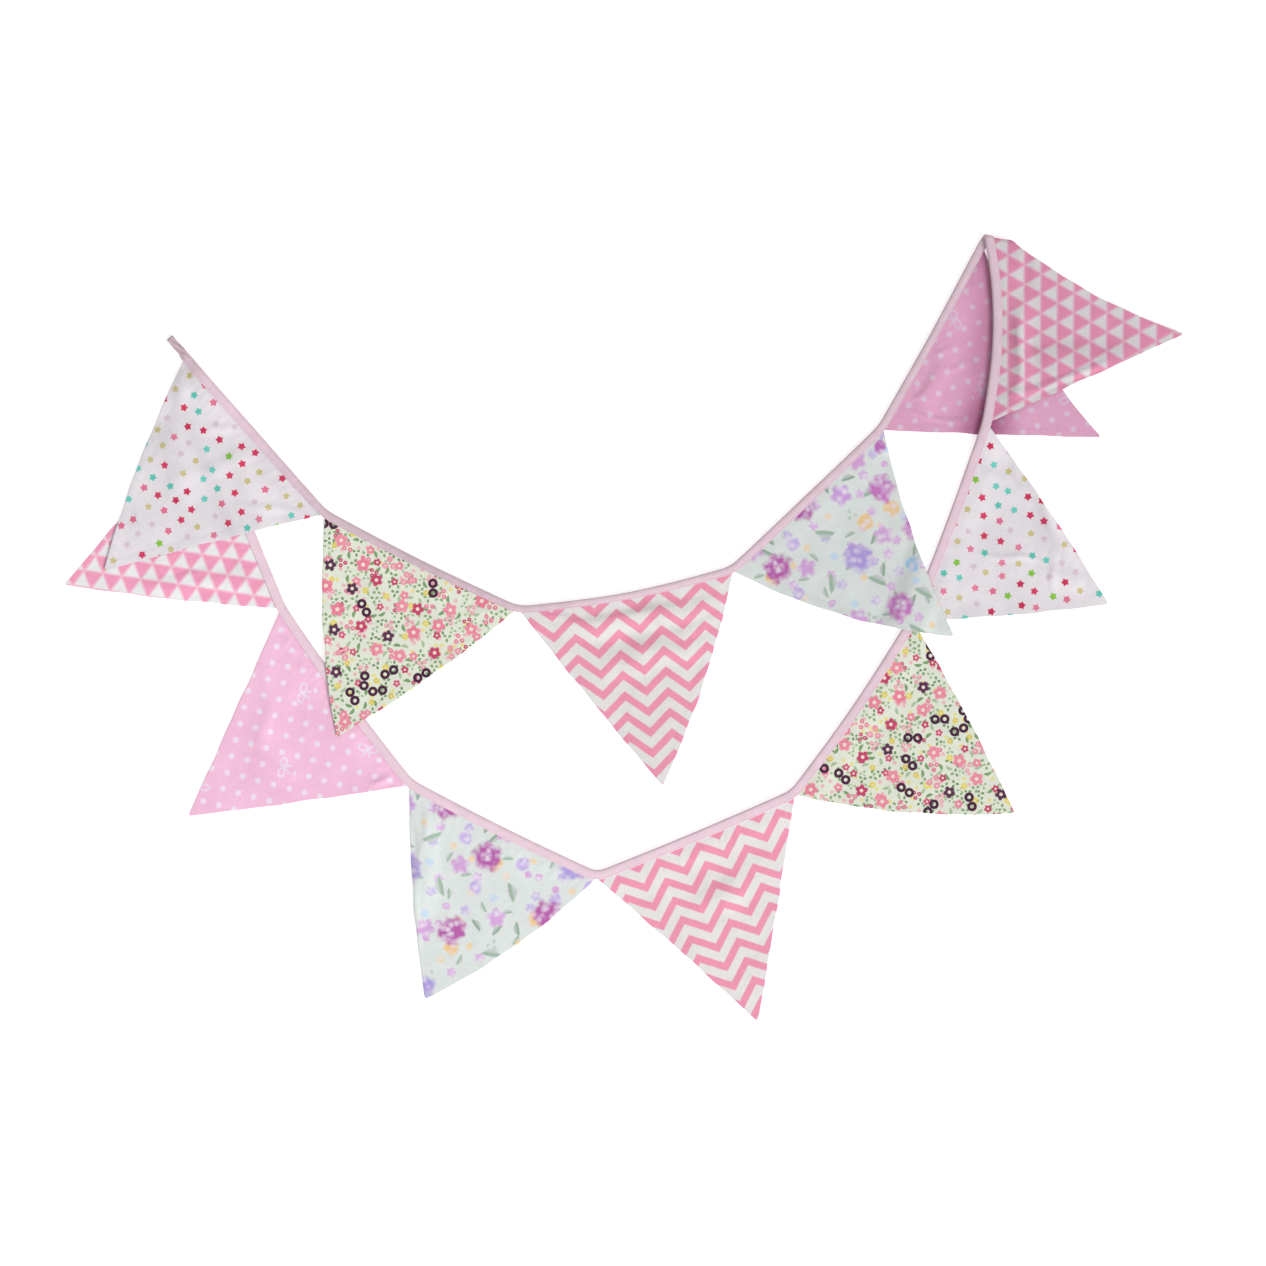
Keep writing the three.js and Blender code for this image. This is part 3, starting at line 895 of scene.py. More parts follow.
@dataclass(frozen=True)
class WovenCotton:
    """Plain-woven light cotton: matt, faintly dusty at a slant, with slubs in its threads.

    thread_pitch is in millimetres and is about twice the real one, so that it shows.
    """

    name: str
    ground: str
    thread_pitch: float = 0.9
    roughness: float = 0.88
    gloss: float = 0.2
    sheen: float = 0.18
    sheen_roughness: float = 0.5
    mottle_size: float = 26.0
    mottle: float = 0.06
    slub: float = 0.05
    slub_scale: float = 0.6
    slub_stretch: tuple[float, float] = (0.12, 2.2)
    crumple: float = 7.0
    crumple_scale: float = 0.16
    bump_strength: float = 0.5
    bump_height: float = 0.00012
    # The hem fields give painted shade along the sewn edge, where the rolled cloth turns from the light
    hem_width: float = 1.3
    hem_painted_shade: float = 0.9
    # The next value is a painted bounce of light that reddens the cloth where its tone is darker
    painted_bounce: float = 0.0
    layers: ClassVar[tuple[MotifLayer, ...]] = ()

    def paint(self, nodes: Nodes, flat: Socket) -> Any:
        """Returns the cloth's colour, which for a plain one is its ground."""
        return linear(self.ground)

    def shaded(self, nodes: Nodes, colour: Any, flat: Socket) -> Any:
        """Varies the colour over the cloth.

        Args:
            nodes: the material's nodes.
            colour: the printed colour.
            flat: the place on the flat cut, in millimetres.

        Returns:
            The colour times the piece's painted shade and shadow from its tone attribute, a broad
            mottle, the slubs of both threads and painted shade along the rolled hem. The darker it
            gets, the more it is reddened, as a painted bounce of light.
        """
        broad = nodes.add("TexNoise", flat, sockets={"Scale": 1 / self.mottle_size, "Detail": 2.0})
        mottled = nodes.add("MapRange", broad, *NOISE_RANGE, 1 - self.mottle, 1.0)
        # The tone attribute is painted shade and painted shadow, set per point on the mesh
        painted_shade_tone = nodes.add("Attribute", attribute_name="tone").outputs["Fac"]
        tone = nodes.add("Math MULTIPLY", painted_shade_tone, mottled)
        along, across = self.slub_stretch
        for stretch in ((along, across, 1.0), (across, along, 1.0)):
            threads = nodes.add("VectorMath MULTIPLY", flat, stretch)
            slubs = nodes.add("TexNoise", threads, sockets={"Scale": self.slub_scale, "Detail": 1.0})
            fleck = nodes.add("MapRange", slubs, *NOISE_RANGE, 1 - self.slub, 1.0)
            tone = nodes.add("Math MULTIPLY", tone, fleck)
        # Painted shade along the rolled edge of the hem
        hem = nodes.add("Attribute", attribute_name="hem").outputs["Fac"]
        ends = (0.0, self.hem_width, self.hem_painted_shade, 1.0)
        rolled = nodes.add("MapRange", hem, *ends, interpolation_type="SMOOTHSTEP")
        tone = nodes.add("Math MULTIPLY", tone, rolled)
        # Painted bounce light: the darker the tone, the more red is kept over green
        red = nodes.add("MapRange", tone, 0.0, 1.0, self.painted_bounce, 1.0)
        green = nodes.add("MapRange", tone, 0.0, 1.0, -self.painted_bounce, 1.0)
        light = nodes.add("CombineColor", red, green, tone)
        return nodes.add("Mix", 1.0, colour, light, data_type="RGBA", blend_type="MULTIPLY")

    def weave(self, nodes: Nodes, flat: Socket) -> Any:
        """Returns the bump of a plain weave: the product of a sine wave along each thread, with
        a finer crumple of the cloth added."""
        turn = 2 * math.pi / self.thread_pitch
        angles = nodes.add("VectorMath MULTIPLY", flat, (turn, turn, 0.0))
        parts = nodes.add("SeparateXYZ", angles)
        warp = nodes.add("Math SINE", parts.outputs[0])
        weft = nodes.add("Math SINE", parts.outputs[1])
        over = nodes.add("Math MULTIPLY", warp, weft)
        crumple = nodes.add("TexNoise", flat, sockets={"Scale": self.crumple_scale, "Detail": 4.0})
        height = nodes.add("Math MULTIPLY_ADD", crumple, self.crumple, over)
        return nodes.add("Bump", self.bump_strength, self.bump_height, sockets={"Height": height})

    def build(self) -> Material:
        """Builds the material from the paint, the shading and the weave."""
        nodes = Nodes(self.name)
        flat = nodes.add("UVMap", uv_map=FLAT_MAP).outputs["UV"]
        return nodes.finish(
            {
                "Base Color": self.shaded(nodes, self.paint(nodes, flat), flat),
                "Roughness": self.roughness,
                "Sheen Weight": self.sheen,
                "Sheen Roughness": self.sheen_roughness,
                "Specular IOR Level": self.gloss,
                "Normal": self.weave(nodes, flat),
            }
        )


@dataclass(frozen=True)
class InkEdge:
    """How pigment stops at the edge of a printed shape: over a soft width, wandering a little."""

    wander: float = 0.9
    wander_size: float = 6.0

    def moved(self, nodes: Nodes, flat: Socket) -> Any:
        """Returns the place on the cloth, moved a little by noise as a screen print is."""
        noise = nodes.add("TexNoise", flat, sockets={"Scale": 1 / self.wander_size})
        centred = nodes.add("VectorMath SUBTRACT", noise.outputs["Color"], (0.5, 0.5, 0.5))
        reach = (self.wander, self.wander, 0.0)
        return nodes.add("VectorMath MULTIPLY_ADD", centred, reach, flat)

    def inside(self, nodes: Nodes, value: Any, edge: float, soft: float) -> Any:
        """Returns 1 where a field is below its edge and 0 above it, over a soft width."""
        ends = (edge - soft, edge + soft, 1.0, 0.0)
        return nodes.add("MapRange", value, *ends, interpolation_type="SMOOTHSTEP")


INK_EDGE = InkEdge()


@dataclass(frozen=True)
class ChevronPrint(WovenCotton):
    """Pink zigzag stripes on white, with the stripes across the pennant."""

    ink: str = "#F69CB8"
    period: float = 36.0
    rise: float = 15.4
    row_pitch: float = 17.3
    ink_share: float = 0.45
    softness: float = 0.035

    def paint(self, nodes: Nodes, flat: Socket) -> Any:
        """Returns the stripes: the fraction of the height, less a triangle wave of the width,
        over the row pitch, inked below its share."""
        parts = nodes.add("SeparateXYZ", INK_EDGE.moved(nodes, flat))
        wave = nodes.add("Math PINGPONG", parts.outputs[0], self.period / 2)
        slope = self.rise / (self.period / 2)
        height = nodes.add("Math MULTIPLY_ADD", wave, slope, parts.outputs[1])
        rows = nodes.add("Math MULTIPLY", height, 1 / self.row_pitch)
        part = nodes.add("Math SUBTRACT", nodes.add("Math FRACT", rows), 0.5)
        away = nodes.add("Math ABSOLUTE", part)
        mask = INK_EDGE.inside(nodes, away, self.ink_share / 2, self.softness)
        return nodes.add("Mix", mask, linear(self.ground), linear(self.ink), data_type="RGBA")


@dataclass(frozen=True)
class TrianglePrint(WovenCotton):
    """Small pink and white triangles point to point, parted by thin pale pink lines."""

    painted_bounce: float = 0.06
    ink: str = "#F7A2C2"
    line_ink: str = "#F7C6D8"
    side: float = 15.9
    line: float = 0.03
    white_line: float = 0.07
    softness: float = 0.04

    def paint(self, nodes: Nodes, flat: Socket) -> Any:
        """Returns the triangles: a place on a lattice of equal sides is in a pink one where the
        fractions of its two coordinates and what they leave of 1 are all above a share, and in
        a white one where the same holds from the lattice's other corner."""
        parts = nodes.add("SeparateXYZ", INK_EDGE.moved(nodes, flat))
        up = 1 / (self.side * math.sqrt(3) / 2)
        b = nodes.add("Math MULTIPLY", parts.outputs[1], up)
        x = nodes.add("Math MULTIPLY", parts.outputs[0], 1 / self.side)
        a = nodes.add("Math MULTIPLY_ADD", b, -0.5, x)
        a = nodes.add("Math FRACT", a)
        b = nodes.add("Math FRACT", b)
        both = nodes.add("Math ADD", a, b)
        left = nodes.add("Math SUBTRACT", 1.0, both)
        least = nodes.add("Math MINIMUM", b, left)
        pink = nodes.add("Math MINIMUM", a, least)
        far_a = nodes.add("Math SUBTRACT", 1.0, a)
        far_b = nodes.add("Math SUBTRACT", 1.0, b)
        over = nodes.add("Math SUBTRACT", both, 1.0)
        far = nodes.add("Math MINIMUM", far_a, far_b)
        white = nodes.add("Math MINIMUM", far, over)
        off_white = INK_EDGE.inside(nodes, white, self.white_line, self.softness)
        off_pink = INK_EDGE.inside(nodes, pink, self.line, self.softness)
        ground, line = linear(self.ground), linear(self.line_ink)
        lined = nodes.add("Mix", off_white, ground, line, data_type="RGBA")
        return nodes.add("Mix", off_pink, linear(self.ink), lined, data_type="RGBA")


@dataclass(frozen=True)
class MotifPlace:
    """The sockets that tell where a place lies in its motif: its two coordinates, the shape's
    number, the distance from the centre, and the angle from the nearest of its points. flat is
    the place on the flat cut."""

    x: Any
    y: Any
    kind: Any
    radius: Any
    angle: Any
    flat: Any


@dataclass(frozen=True)
class MotifPrint(WovenCotton):
    """A ground with layers of scattered motifs, drawn from each motif's own coordinates.

    A motif reaches to 1 in them. A ring is given by how far out its centre lies, the radius of
    its line and the line's half width.
    """

    petal_edge: float = 0.64
    ink_softness: float = 0.16
    blot_wander: float = 1.3
    blot_size: float = 4.5
    star_waist: float = 1.35
    leaf_slimness: float = 2.6
    leaf_bend: float = 0.25
    spray_slimness: float = 3.4
    spray_middle: float = 0.6
    spray_half: float = 0.44
    pair_ring: tuple[float, float, float] = (0.42, 0.29, 0.13)
    cluster_ring: tuple[float, float, float] = (0.58, 0.25, 0.15)
    loop_ring: tuple[float, float, float] = (1.2, 1.0, 0.27)
    loop_size: tuple[float, float] = (0.42, 0.3)
    loop_rise: float = 0.35
    tail_slant: tuple[float, float] = (0.884, 0.467)
    tail_thinness: float = 11.0
    tail_end: float = 1.2
    knot: float = 7.0

    def locate(self, nodes: Nodes, name: str, flat: Any) -> MotifPlace:
        """Reads a layer's motif coordinates from the mesh.

        Args:
            nodes: the material's nodes.
            name: what the layer's attributes are called.
            flat: the place on the flat cut.

        Returns:
            The sockets of the place in its motif.
        """
        place = nodes.add("Attribute", attribute_name=f"{name}_place").outputs["Vector"]
        x, y, kind = nodes.add("SeparateXYZ", place).outputs
        level = nodes.add("VectorMath MULTIPLY", place, (1.0, 1.0, 0.0))
        radius = nodes.add("VectorMath LENGTH", level).outputs["Value"]
        turn = nodes.add("Math ARCTAN2", y, x)
        angle = nodes.add("Math PINGPONG", turn, math.pi / POINTS)
        return MotifPlace(x, y, kind, radius, angle, flat)

    def outline(self, nodes: Nodes, place: MotifPlace, shapes: set[Shape]) -> Any:
        """Returns a field that is below 1 inside the motif: the sum, over the layer's shapes, of
        each one's own field where the place's number is that shape's."""
        total = None
        for shape in sorted(shapes, key=lambda s: s.value):
            chosen = nodes.add("Math COMPARE", place.kind, float(shape.value), 0.5)
            drawn = getattr(self, shape.name.lower())(nodes, place)
            part = nodes.add("Math MULTIPLY", chosen, drawn)
            total = part if total is None else nodes.add("Math ADD", total, part)
        return total

    def star(self, nodes: Nodes, place: MotifPlace) -> Any:
        """Returns the field of a plump five-pointed star: the radius times the cosine, plus a
        share of the sine, of the angle from its nearest point."""
        cos = nodes.add("Math COSINE", place.angle)
        sin = nodes.add("Math SINE", place.angle)
        both = nodes.add("Math MULTIPLY_ADD", sin, self.star_waist, cos)
        return nodes.add("Math MULTIPLY", both, place.radius)

    def flower(self, nodes: Nodes, place: MotifPlace) -> Any:
        """Returns the field of round petals: the radius over a reach that falls to its notches
        with the cosine of the angle times half the number of petals."""
        wide = nodes.add("Math MULTIPLY", place.angle, POINTS / 2)
        lobe = nodes.add("Math COSINE", wide)
        reach = nodes.add("Math MULTIPLY_ADD", lobe, 1 - self.petal_edge, self.petal_edge)
        return nodes.add("Math DIVIDE", place.radius, reach)

    def leaf(self, nodes: Nodes, place: MotifPlace) -> Any:
        """Returns the field of a pointed leaf: its squared length plus a multiple of its breadth,
        with the blade bent a little to one side."""
        square = nodes.add("Math MULTIPLY", place.x, place.x)
        bent = nodes.add("Math MULTIPLY_ADD", square, self.leaf_bend, place.y)
        breadth = nodes.add("Math ABSOLUTE", bent)
        return nodes.add("Math MULTIPLY_ADD", breadth, self.leaf_slimness, square)

    def fold_third(self, nodes: Nodes, place: MotifPlace) -> tuple[Any, Any]:
        """Returns the place folded into one third of a turn, so that what is drawn out along x
        comes three times round the centre."""
        turn = nodes.add("Math ARCTAN2", place.y, place.x)
        third = nodes.add("Math PINGPONG", turn, math.pi / 3)
        cos = nodes.add("Math COSINE", third)
        sin = nodes.add("Math SINE", third)
        x = nodes.add("Math MULTIPLY", cos, place.radius)
        y = nodes.add("Math MULTIPLY", sin, place.radius)
        return x, y

    def spray(self, nodes: Nodes, place: MotifPlace) -> Any:
        """Returns the field of three small leaves from one point: a multiple of the breadth, plus
        the squared share of the half length from the leaf's middle."""
        x, y = self.fold_third(nodes, place)
        middle = -self.spray_middle / self.spray_half
        out = nodes.add("Math MULTIPLY_ADD", x, 1 / self.spray_half, middle)
        square = nodes.add("Math MULTIPLY", out, out)
        return nodes.add("Math MULTIPLY_ADD", y, self.spray_slimness, square)

    def ring_at(self, nodes: Nodes, x: Any, y: Any, ring: tuple[float, float, float]) -> Any:
        """Returns the field of a small ring whose centre lies out along x.

        Args:
            nodes: the material's nodes.
            x: the distance along the axis.
            y: the distance across it.
            ring: how far out its centre is, the radius of its line and the line's half width.
        """
        centre, radius, half_width = ring
        spot = nodes.add("CombineXYZ", nodes.add("Math SUBTRACT", x, centre), y, 0.0)
        reach = nodes.add("VectorMath LENGTH", spot).outputs["Value"]
        away = nodes.add("Math ABSOLUTE", nodes.add("Math SUBTRACT", reach, radius))
        return nodes.add("Math DIVIDE", away, half_width)

    def pair(self, nodes: Nodes, place: MotifPlace) -> Any:
        """Returns the field of two rings side by side."""
        width = nodes.add("Math ABSOLUTE", place.x)
        return self.ring_at(nodes, width, place.y, self.pair_ring)

    def cluster(self, nodes: Nodes, place: MotifPlace) -> Any:
        """Returns the field of three small rings about a centre."""
        x, y = self.fold_third(nodes, place)
        return self.ring_at(nodes, x, y, self.cluster_ring)

    def blot(self, nodes: Nodes, place: MotifPlace) -> Any:
        """Returns the field of a wet blot: the radius, moved in and out by noise on the cloth."""
        noise = nodes.add("TexNoise", place.flat, sockets={"Scale": 1 / self.blot_size, "Detail": 1.0})
        moved = nodes.add("MapRange", noise, 0.0, 1.0, -self.blot_wander / 2, self.blot_wander / 2)
        return nodes.add("Math ADD", moved, place.radius)

    def bow(self, nodes: Nodes, place: MotifPlace) -> Any:
        """Returns the field of a drawn bow: the least of the lines of its two oval loops, its two
        straight tails and its knot."""
        width = nodes.add("Math ABSOLUTE", place.x)
        wide = nodes.add("Math MULTIPLY", width, 1 / self.loop_size[0])
        tall = nodes.add("Math MULTIPLY_ADD", place.y, 1 / self.loop_size[1], -self.loop_rise)
        loop = self.ring_at(nodes, wide, tall, self.loop_ring)
        rise = nodes.add("Math MULTIPLY", place.y, self.tail_slant[1])
        off_tail = nodes.add("Math MULTIPLY_ADD", width, self.tail_slant[0], rise)
        thin = nodes.add("Math MULTIPLY", nodes.add("Math ABSOLUTE", off_tail), self.tail_thinness)
        tail_reach = nodes.add("Math MULTIPLY", place.radius, self.tail_end)
        tail = nodes.add("Math MAXIMUM", thin, tail_reach)
        knot = nodes.add("Math MULTIPLY", place.radius, self.knot)
        drawn = nodes.add("Math MINIMUM", loop, tail)
        return nodes.add("Math MINIMUM", drawn, knot)

    def inked(self, nodes: Nodes, ink: Any, place: MotifPlace) -> Any:
        """Returns the ink inside a motif. It is even, as on a star."""
        return ink

    def paint(self, nodes: Nodes, flat: Socket) -> Any:
        """Returns the ground with each layer of motifs printed over it in turn."""
        return self.print_layers(nodes, linear(self.ground), flat)

    def print_layers(self, nodes: Nodes, colour: Any, flat: Any) -> Any:
        """Prints the layers over a colour.

        Args:
            nodes: the material's nodes.
            colour: what lies under them.
            flat: the place on the flat cut.

        Returns:
            The colour with every layer mixed in by its motifs' mask.
        """
        for number, layer in enumerate(self.layers):
            place = self.locate(nodes, f"layer_{number}", flat)
            ink = nodes.add("Attribute", attribute_name=f"layer_{number}_ink").outputs["Color"]
            outline = self.outline(nodes, place, {motif.shape for motif in layer.motifs})
            mask = INK_EDGE.inside(nodes, outline, 1.0, self.ink_softness)
            colour = nodes.add("Mix", mask, colour, self.inked(nodes, ink, place), data_type="RGBA")
        return colour


@dataclass(frozen=True)
class StarPrint(MotifPrint):
    """Small plump stars in pinks, teal, green and beige on a faint pink-white, which is greyed
    in broad patches."""

    mottle: float = 0.11
    mottle_size: float = 38.0
    layers: ClassVar[tuple[MotifLayer, ...]] = (
        MotifLayer(
            14.0,
            2.2,
            (
                Motif(Shape.STAR, 3.6, "#D2345B"),
                Motif(Shape.STAR, 3.5, "#63CDBD"),
                Motif(Shape.STAR, 3.6, "#EC7898"),
                Motif(Shape.STAR, 3.5, "#8CCB45"),
                Motif(Shape.STAR, 3.3, "#D3C78A"),
                Motif(Shape.STAR, 3.6, "#DE4167"),
                Motif(Shape.STAR, 3.4, "#72D5C8"),
                Motif(Shape.STAR, 3.5, "#EE86A3"),
                Motif(Shape.STAR, 3.3, "#D6CB93"),
                Motif(Shape.STAR, 3.2, "#E3CFD9"),
            ),
            11,
        ),
    )


@dataclass(frozen=True)
class SprigPrint(MotifPrint):
    """Pink, rose and plum flowers with pale centres, small rings, and fine leaves and sprays."""

    centre: str = "#F6E9D6"
    centre_radius: float = 0.27
    centre_softness: float = 0.08
    petal_tones: tuple[float, float] = (1.04, 0.86)
    petal_shade_from: float = 0.3
    layers: ClassVar[tuple[MotifLayer, ...]] = (
        MotifLayer(
            7.0,
            1.8,
            (
                Motif(Shape.SPRAY, 4.0, "#8FB07E"),
                Motif(Shape.SPRAY, 3.4, "#A9C49A"),
                Motif(Shape.FLOWER, 1.7, "#EFE07A"),
                Motif(Shape.SPRAY, 3.7, "#769D69"),
                Motif(Shape.LEAF, 3.4, "#B0C8A2"),
                Motif(Shape.FLOWER, 1.7, "#F3B0BC"),
                Motif(Shape.LEAF, 3.6, "#82A673"),
            ),
            21,
        ),
        MotifLayer(
            14.0,
            3.4,
            (
                Motif(Shape.FLOWER, 3.9, "#F28FA6"),
                Motif(Shape.FLOWER, 3.0, "#EBDA62"),
                Motif(Shape.CLUSTER, 5.0, "#F08CA4"),
                Motif(Shape.FLOWER, 3.4, "#C9466F"),
                Motif(Shape.CLUSTER, 4.8, "#F5AFBC"),
                Motif(Shape.FLOWER, 3.2, "#D9577F"),
                Motif(Shape.CLUSTER, 4.4, "#CF4F78"),
                Motif(Shape.FLOWER, 2.6, "#E6CE4F"),
            ),
            22,
        ),
        MotifLayer(
            21.0,
            4.6,
            (
                Motif(Shape.FLOWER, 6.2, "#F0849D"),
                Motif(Shape.FLOWER, 5.4, "#CB466F"),
                Motif(Shape.PAIR, 9.6, "#4C2140"),
                Motif(Shape.FLOWER, 5.8, "#F593A8"),
                Motif(Shape.FLOWER, 5.2, "#5B2E50"),
                Motif(Shape.FLOWER, 5.2, "#D9577F"),
                Motif(Shape.FLOWER, 6.0, "#F28BA2"),
                Motif(Shape.CLUSTER, 6.6, "#F3A0B2"),
            ),
            24,
        ),
    )

    def inked(self, nodes: Nodes, ink: Any, place: MotifPlace) -> Any:
        """Returns the ink, deeper between the petals, with a pale centre in a flower."""
        notch = math.pi / POINTS
        deep = nodes.add("MapRange", place.angle, self.petal_shade_from, notch, *self.petal_tones)
        grey = nodes.add("CombineColor", deep, deep, deep)
        petals = nodes.add("Mix", 1.0, ink, grey, data_type="RGBA", blend_type="MULTIPLY")
        middle = INK_EDGE.inside(nodes, place.radius, self.centre_radius, self.centre_softness)
        flower = nodes.add("Math COMPARE", place.kind, float(Shape.FLOWER.value), 0.5)
        shown = nodes.add("Math MULTIPLY", middle, flower)
        return nodes.add("Mix", shown, petals, linear(self.centre), data_type="RGBA")


@dataclass(frozen=True)
class BloomPrint(MotifPrint):
    """Loose watercolour blooms in magenta, lilac, blue and peach with soft leaves."""

    ink_softness: float = 0.26
    blot_wander: float = 1.0
    blot_size: float = 7.0
    wash: str = "#F1E8F6"
    wash_size: float = 5.6
    pale_range: tuple[float, float] = (0.6, 1.2)
    pale_least: float = 0.05
    inner_range: tuple[float, float] = (0.3, 1.0)
    inner_least: float = 0.55
    vein_half: float = 0.08
    leaf_tones: tuple[float, float] = (0.1, 0.5)
    layers: ClassVar[tuple[MotifLayer, ...]] = (
        MotifLayer(
            15.5,
            4.0,
            (
                Motif(Shape.LEAF, 5.0, "#A3C1A8"),
                Motif(Shape.FLOWER, 4.4, "#CCC2EA"),
                Motif(Shape.BLOT, 2.8, "#F6DBAE"),
                Motif(Shape.SPRAY, 5.4, "#C2D6C6"),
                Motif(Shape.BLOT, 3.4, "#C9E3F5"),
                Motif(Shape.LEAF, 6.2, "#8CAE94"),
                Motif(Shape.BLOT, 3.0, "#DDA8DE"),
                Motif(Shape.FLOWER, 4.2, "#E0BAE6"),
            ),
            31,
        ),
        MotifLayer(
            28.0,
            6.0,
            (
                Motif(Shape.BLOT, 6.2, "#F6CF8E"),
                Motif(Shape.FLOWER, 9.0, "#CFA0E0"),
                Motif(Shape.BLOT, 5.8, "#A9D4F4"),
                Motif(Shape.BLOT, 5.0, "#C66CC3"),
                Motif(Shape.LEAF, 8.6, "#9ABAA0"),
                Motif(Shape.FLOWER, 8.2, "#DBA9E0"),
                Motif(Shape.BLOT, 5.4, "#C9B4EA"),
            ),
            32,
        ),
        MotifLayer(
            56.0,
            10.0,
            (
                Motif(Shape.BLOT, 11.0, "#BA56AB"),
                Motif(Shape.BLOT, 11.6, "#B3A0E2"),
                Motif(Shape.BLOT, 10.4, "#CC76C6"),
            ),
            36,
        ),
    )

    def inked(self, nodes: Nodes, ink: Any, place: MotifPlace) -> Any:
        """Returns the ink as wet colour: petals that are pale in their middles and deep between
        them, paler towards the motif's centre, and leaves with one pale side."""
        grain = nodes.add("TexNoise", place.flat, sockets={"Scale": 1 / self.wash_size, "Detail": 3.0})
        petal = nodes.add("TexVoronoi", place.flat, sockets={"Scale": 1 / self.wash_size}, feature="F1")
        depth = nodes.add("Math ADD", petal.outputs["Distance"], grain.outputs[0])
        pale = nodes.add("MapRange", depth, *self.pale_range, 1.0, self.pale_least)
        inner = nodes.add("MapRange", place.radius, *self.inner_range, 1.0, self.inner_least)
        petals = nodes.add("Math MULTIPLY", pale, inner)
        side = nodes.add("MapRange", place.y, -self.vein_half, self.vein_half, *self.leaf_tones)
        leaf = nodes.add("Math COMPARE", place.kind, float(Shape.LEAF.value), 0.5)
        share = nodes.add("Mix", leaf, petals, side, data_type="FLOAT")
        return nodes.add("Mix", share, ink, linear(self.wash), data_type="RGBA")


@dataclass(frozen=True)
class BowPrint(MotifPrint):
    """Near-white dots on pink, with a small drawn bow here and there in a dot's place."""

    mottle: float = 0.11
    mottle_size: float = 40.0
    painted_bounce: float = 0.14
    ink: str = "#F7E9F7"
    dot_pitch: tuple[float, float] = (13.3, 14.0)
    dot_radius: float = 2.4
    dot_softness: float = 0.9
    clear_of_bow: tuple[float, float] = (1.05, 1.15)
    layers: ClassVar[tuple[MotifLayer, ...]] = (
        MotifLayer(64.0, 0.0, (Motif(Shape.BOW, 8.6, "#F3E4F5"),), 41, straight=True),
    )

    def paint(self, nodes: Nodes, flat: Socket) -> Any:
        """Returns the dots, where the distance from the nearest crossing of the grid is below
        their radius, left out near a bow, and the bows over them."""
        parts = nodes.add("SeparateXYZ", INK_EDGE.moved(nodes, flat))
        pairs = zip(parts.outputs, self.dot_pitch)
        offsets = [nodes.add("Math PINGPONG", socket, pitch / 2) for socket, pitch in pairs]
        offset = nodes.add("CombineXYZ", *offsets)
        away = nodes.add("VectorMath LENGTH", offset).outputs["Value"]
        dots = INK_EDGE.inside(nodes, away, self.dot_radius, self.dot_softness)
        near_bow = self.locate(nodes, "layer_0", flat).radius
        clear = nodes.add("MapRange", near_bow, *self.clear_of_bow, 0.0, 1.0)
        shown = nodes.add("Math MULTIPLY", dots, clear)
        colour = nodes.add("Mix", shown, linear(self.ground), linear(self.ink), data_type="RGBA")
        return self.print_layers(nodes, colour, flat)


@dataclass(frozen=True)
class TapeCotton(WovenCotton):
    """Plain pale lilac-pink cotton tape, with painted shade along its folded edge where it rolls over.
    """

    mottle: float = 0.08
    mottle_size: float = 14.0
    hem_width: float = 3.4
    hem_painted_shade: float = 0.88


@dataclass(frozen=True)
class SewingThread:
    """Spun polyester sewing thread: a soft gloss over a fine twist."""

    name: str = "spun_polyester_thread"
    colour: str = "#E9CFE0"
    deep_colour: str = "#DDBDD2"
    roughness: float = 0.55
    fleck_scale: float = 400.0
    twist_scale: float = 900.0
    bump_strength: float = 0.4
    bump_height: float = 0.00005

    def build(self) -> Material:
        """Builds the material, with its twist as a slanted wave on Object coordinates."""
        nodes = Nodes(self.name)
        place = nodes.add("TexCoord").outputs["Object"]
        tone = nodes.add("TexNoise", place, sockets={"Scale": self.fleck_scale})
        light, deep = linear(self.colour), linear(self.deep_colour)
        scale = {"Scale": self.twist_scale}
        twist = nodes.add("TexWave", place, sockets=scale, bands_direction="DIAGONAL")
        height = {"Height": twist.outputs["Fac"]}
        return nodes.finish(
            {
                "Base Color": nodes.add("Mix", tone, light, deep, data_type="RGBA"),
                "Roughness": self.roughness,
                "Normal": nodes.add("Bump", self.bump_strength, self.bump_height, sockets=height),
            }
        )


@dataclass(frozen=True)
class PaperFloor:
    """Matt white background paper, which soft light takes almost to pure white."""

    name: str = "matt_background_paper"
    colour: str = "#FAFAFA"
    glow_colour: str = "#FFFFFF"
    lit_from_behind: float = 0.4
    roughness: float = 0.95
    tooth_scale: float = 300.0
    bump_strength: float = 0.1
    bump_height: float = 0.0001

    def build(self) -> Material:
        """Builds the material, with the faint tooth of paper."""
        nodes = Nodes(self.name)
        place = nodes.add("TexCoord").outputs["Object"]
        height = {"Height": nodes.add("TexNoise", place, sockets={"Scale": self.tooth_scale})}
        return nodes.finish(
            {
                "Base Color": linear(self.colour),
                "Roughness": self.roughness,
                "Emission Color": linear(self.glow_colour),
                "Emission Strength": self.lit_from_behind,
                "Normal": nodes.add("Bump", self.bump_strength, self.bump_height, sockets=height),
            }
        )


FINISHES: dict[Print, WovenCotton] = {
    Print.STARS: StarPrint("printed_cotton_stars", "#EFE9EE"),
    Print.SPRIGS: SprigPrint("printed_cotton_sprigs", "#E9EDDC"),
    Print.CHEVRONS: ChevronPrint("printed_cotton_chevrons", "#ECE9E8"),
    Print.BLOOMS: BloomPrint("printed_cotton_blooms", "#E4EAE7"),
    Print.BOWS: BowPrint("printed_cotton_bows", "#FBC8E3"),
    Print.TRIANGLES: TrianglePrint("printed_cotton_triangles", "#EFF0F0"),
}


def material_of(finish: Any) -> Material:
    """Returns the material of a finish, built the first time that it is asked for."""
    return bpy.data.materials.get(finish.name) or finish.build()


# Pieces


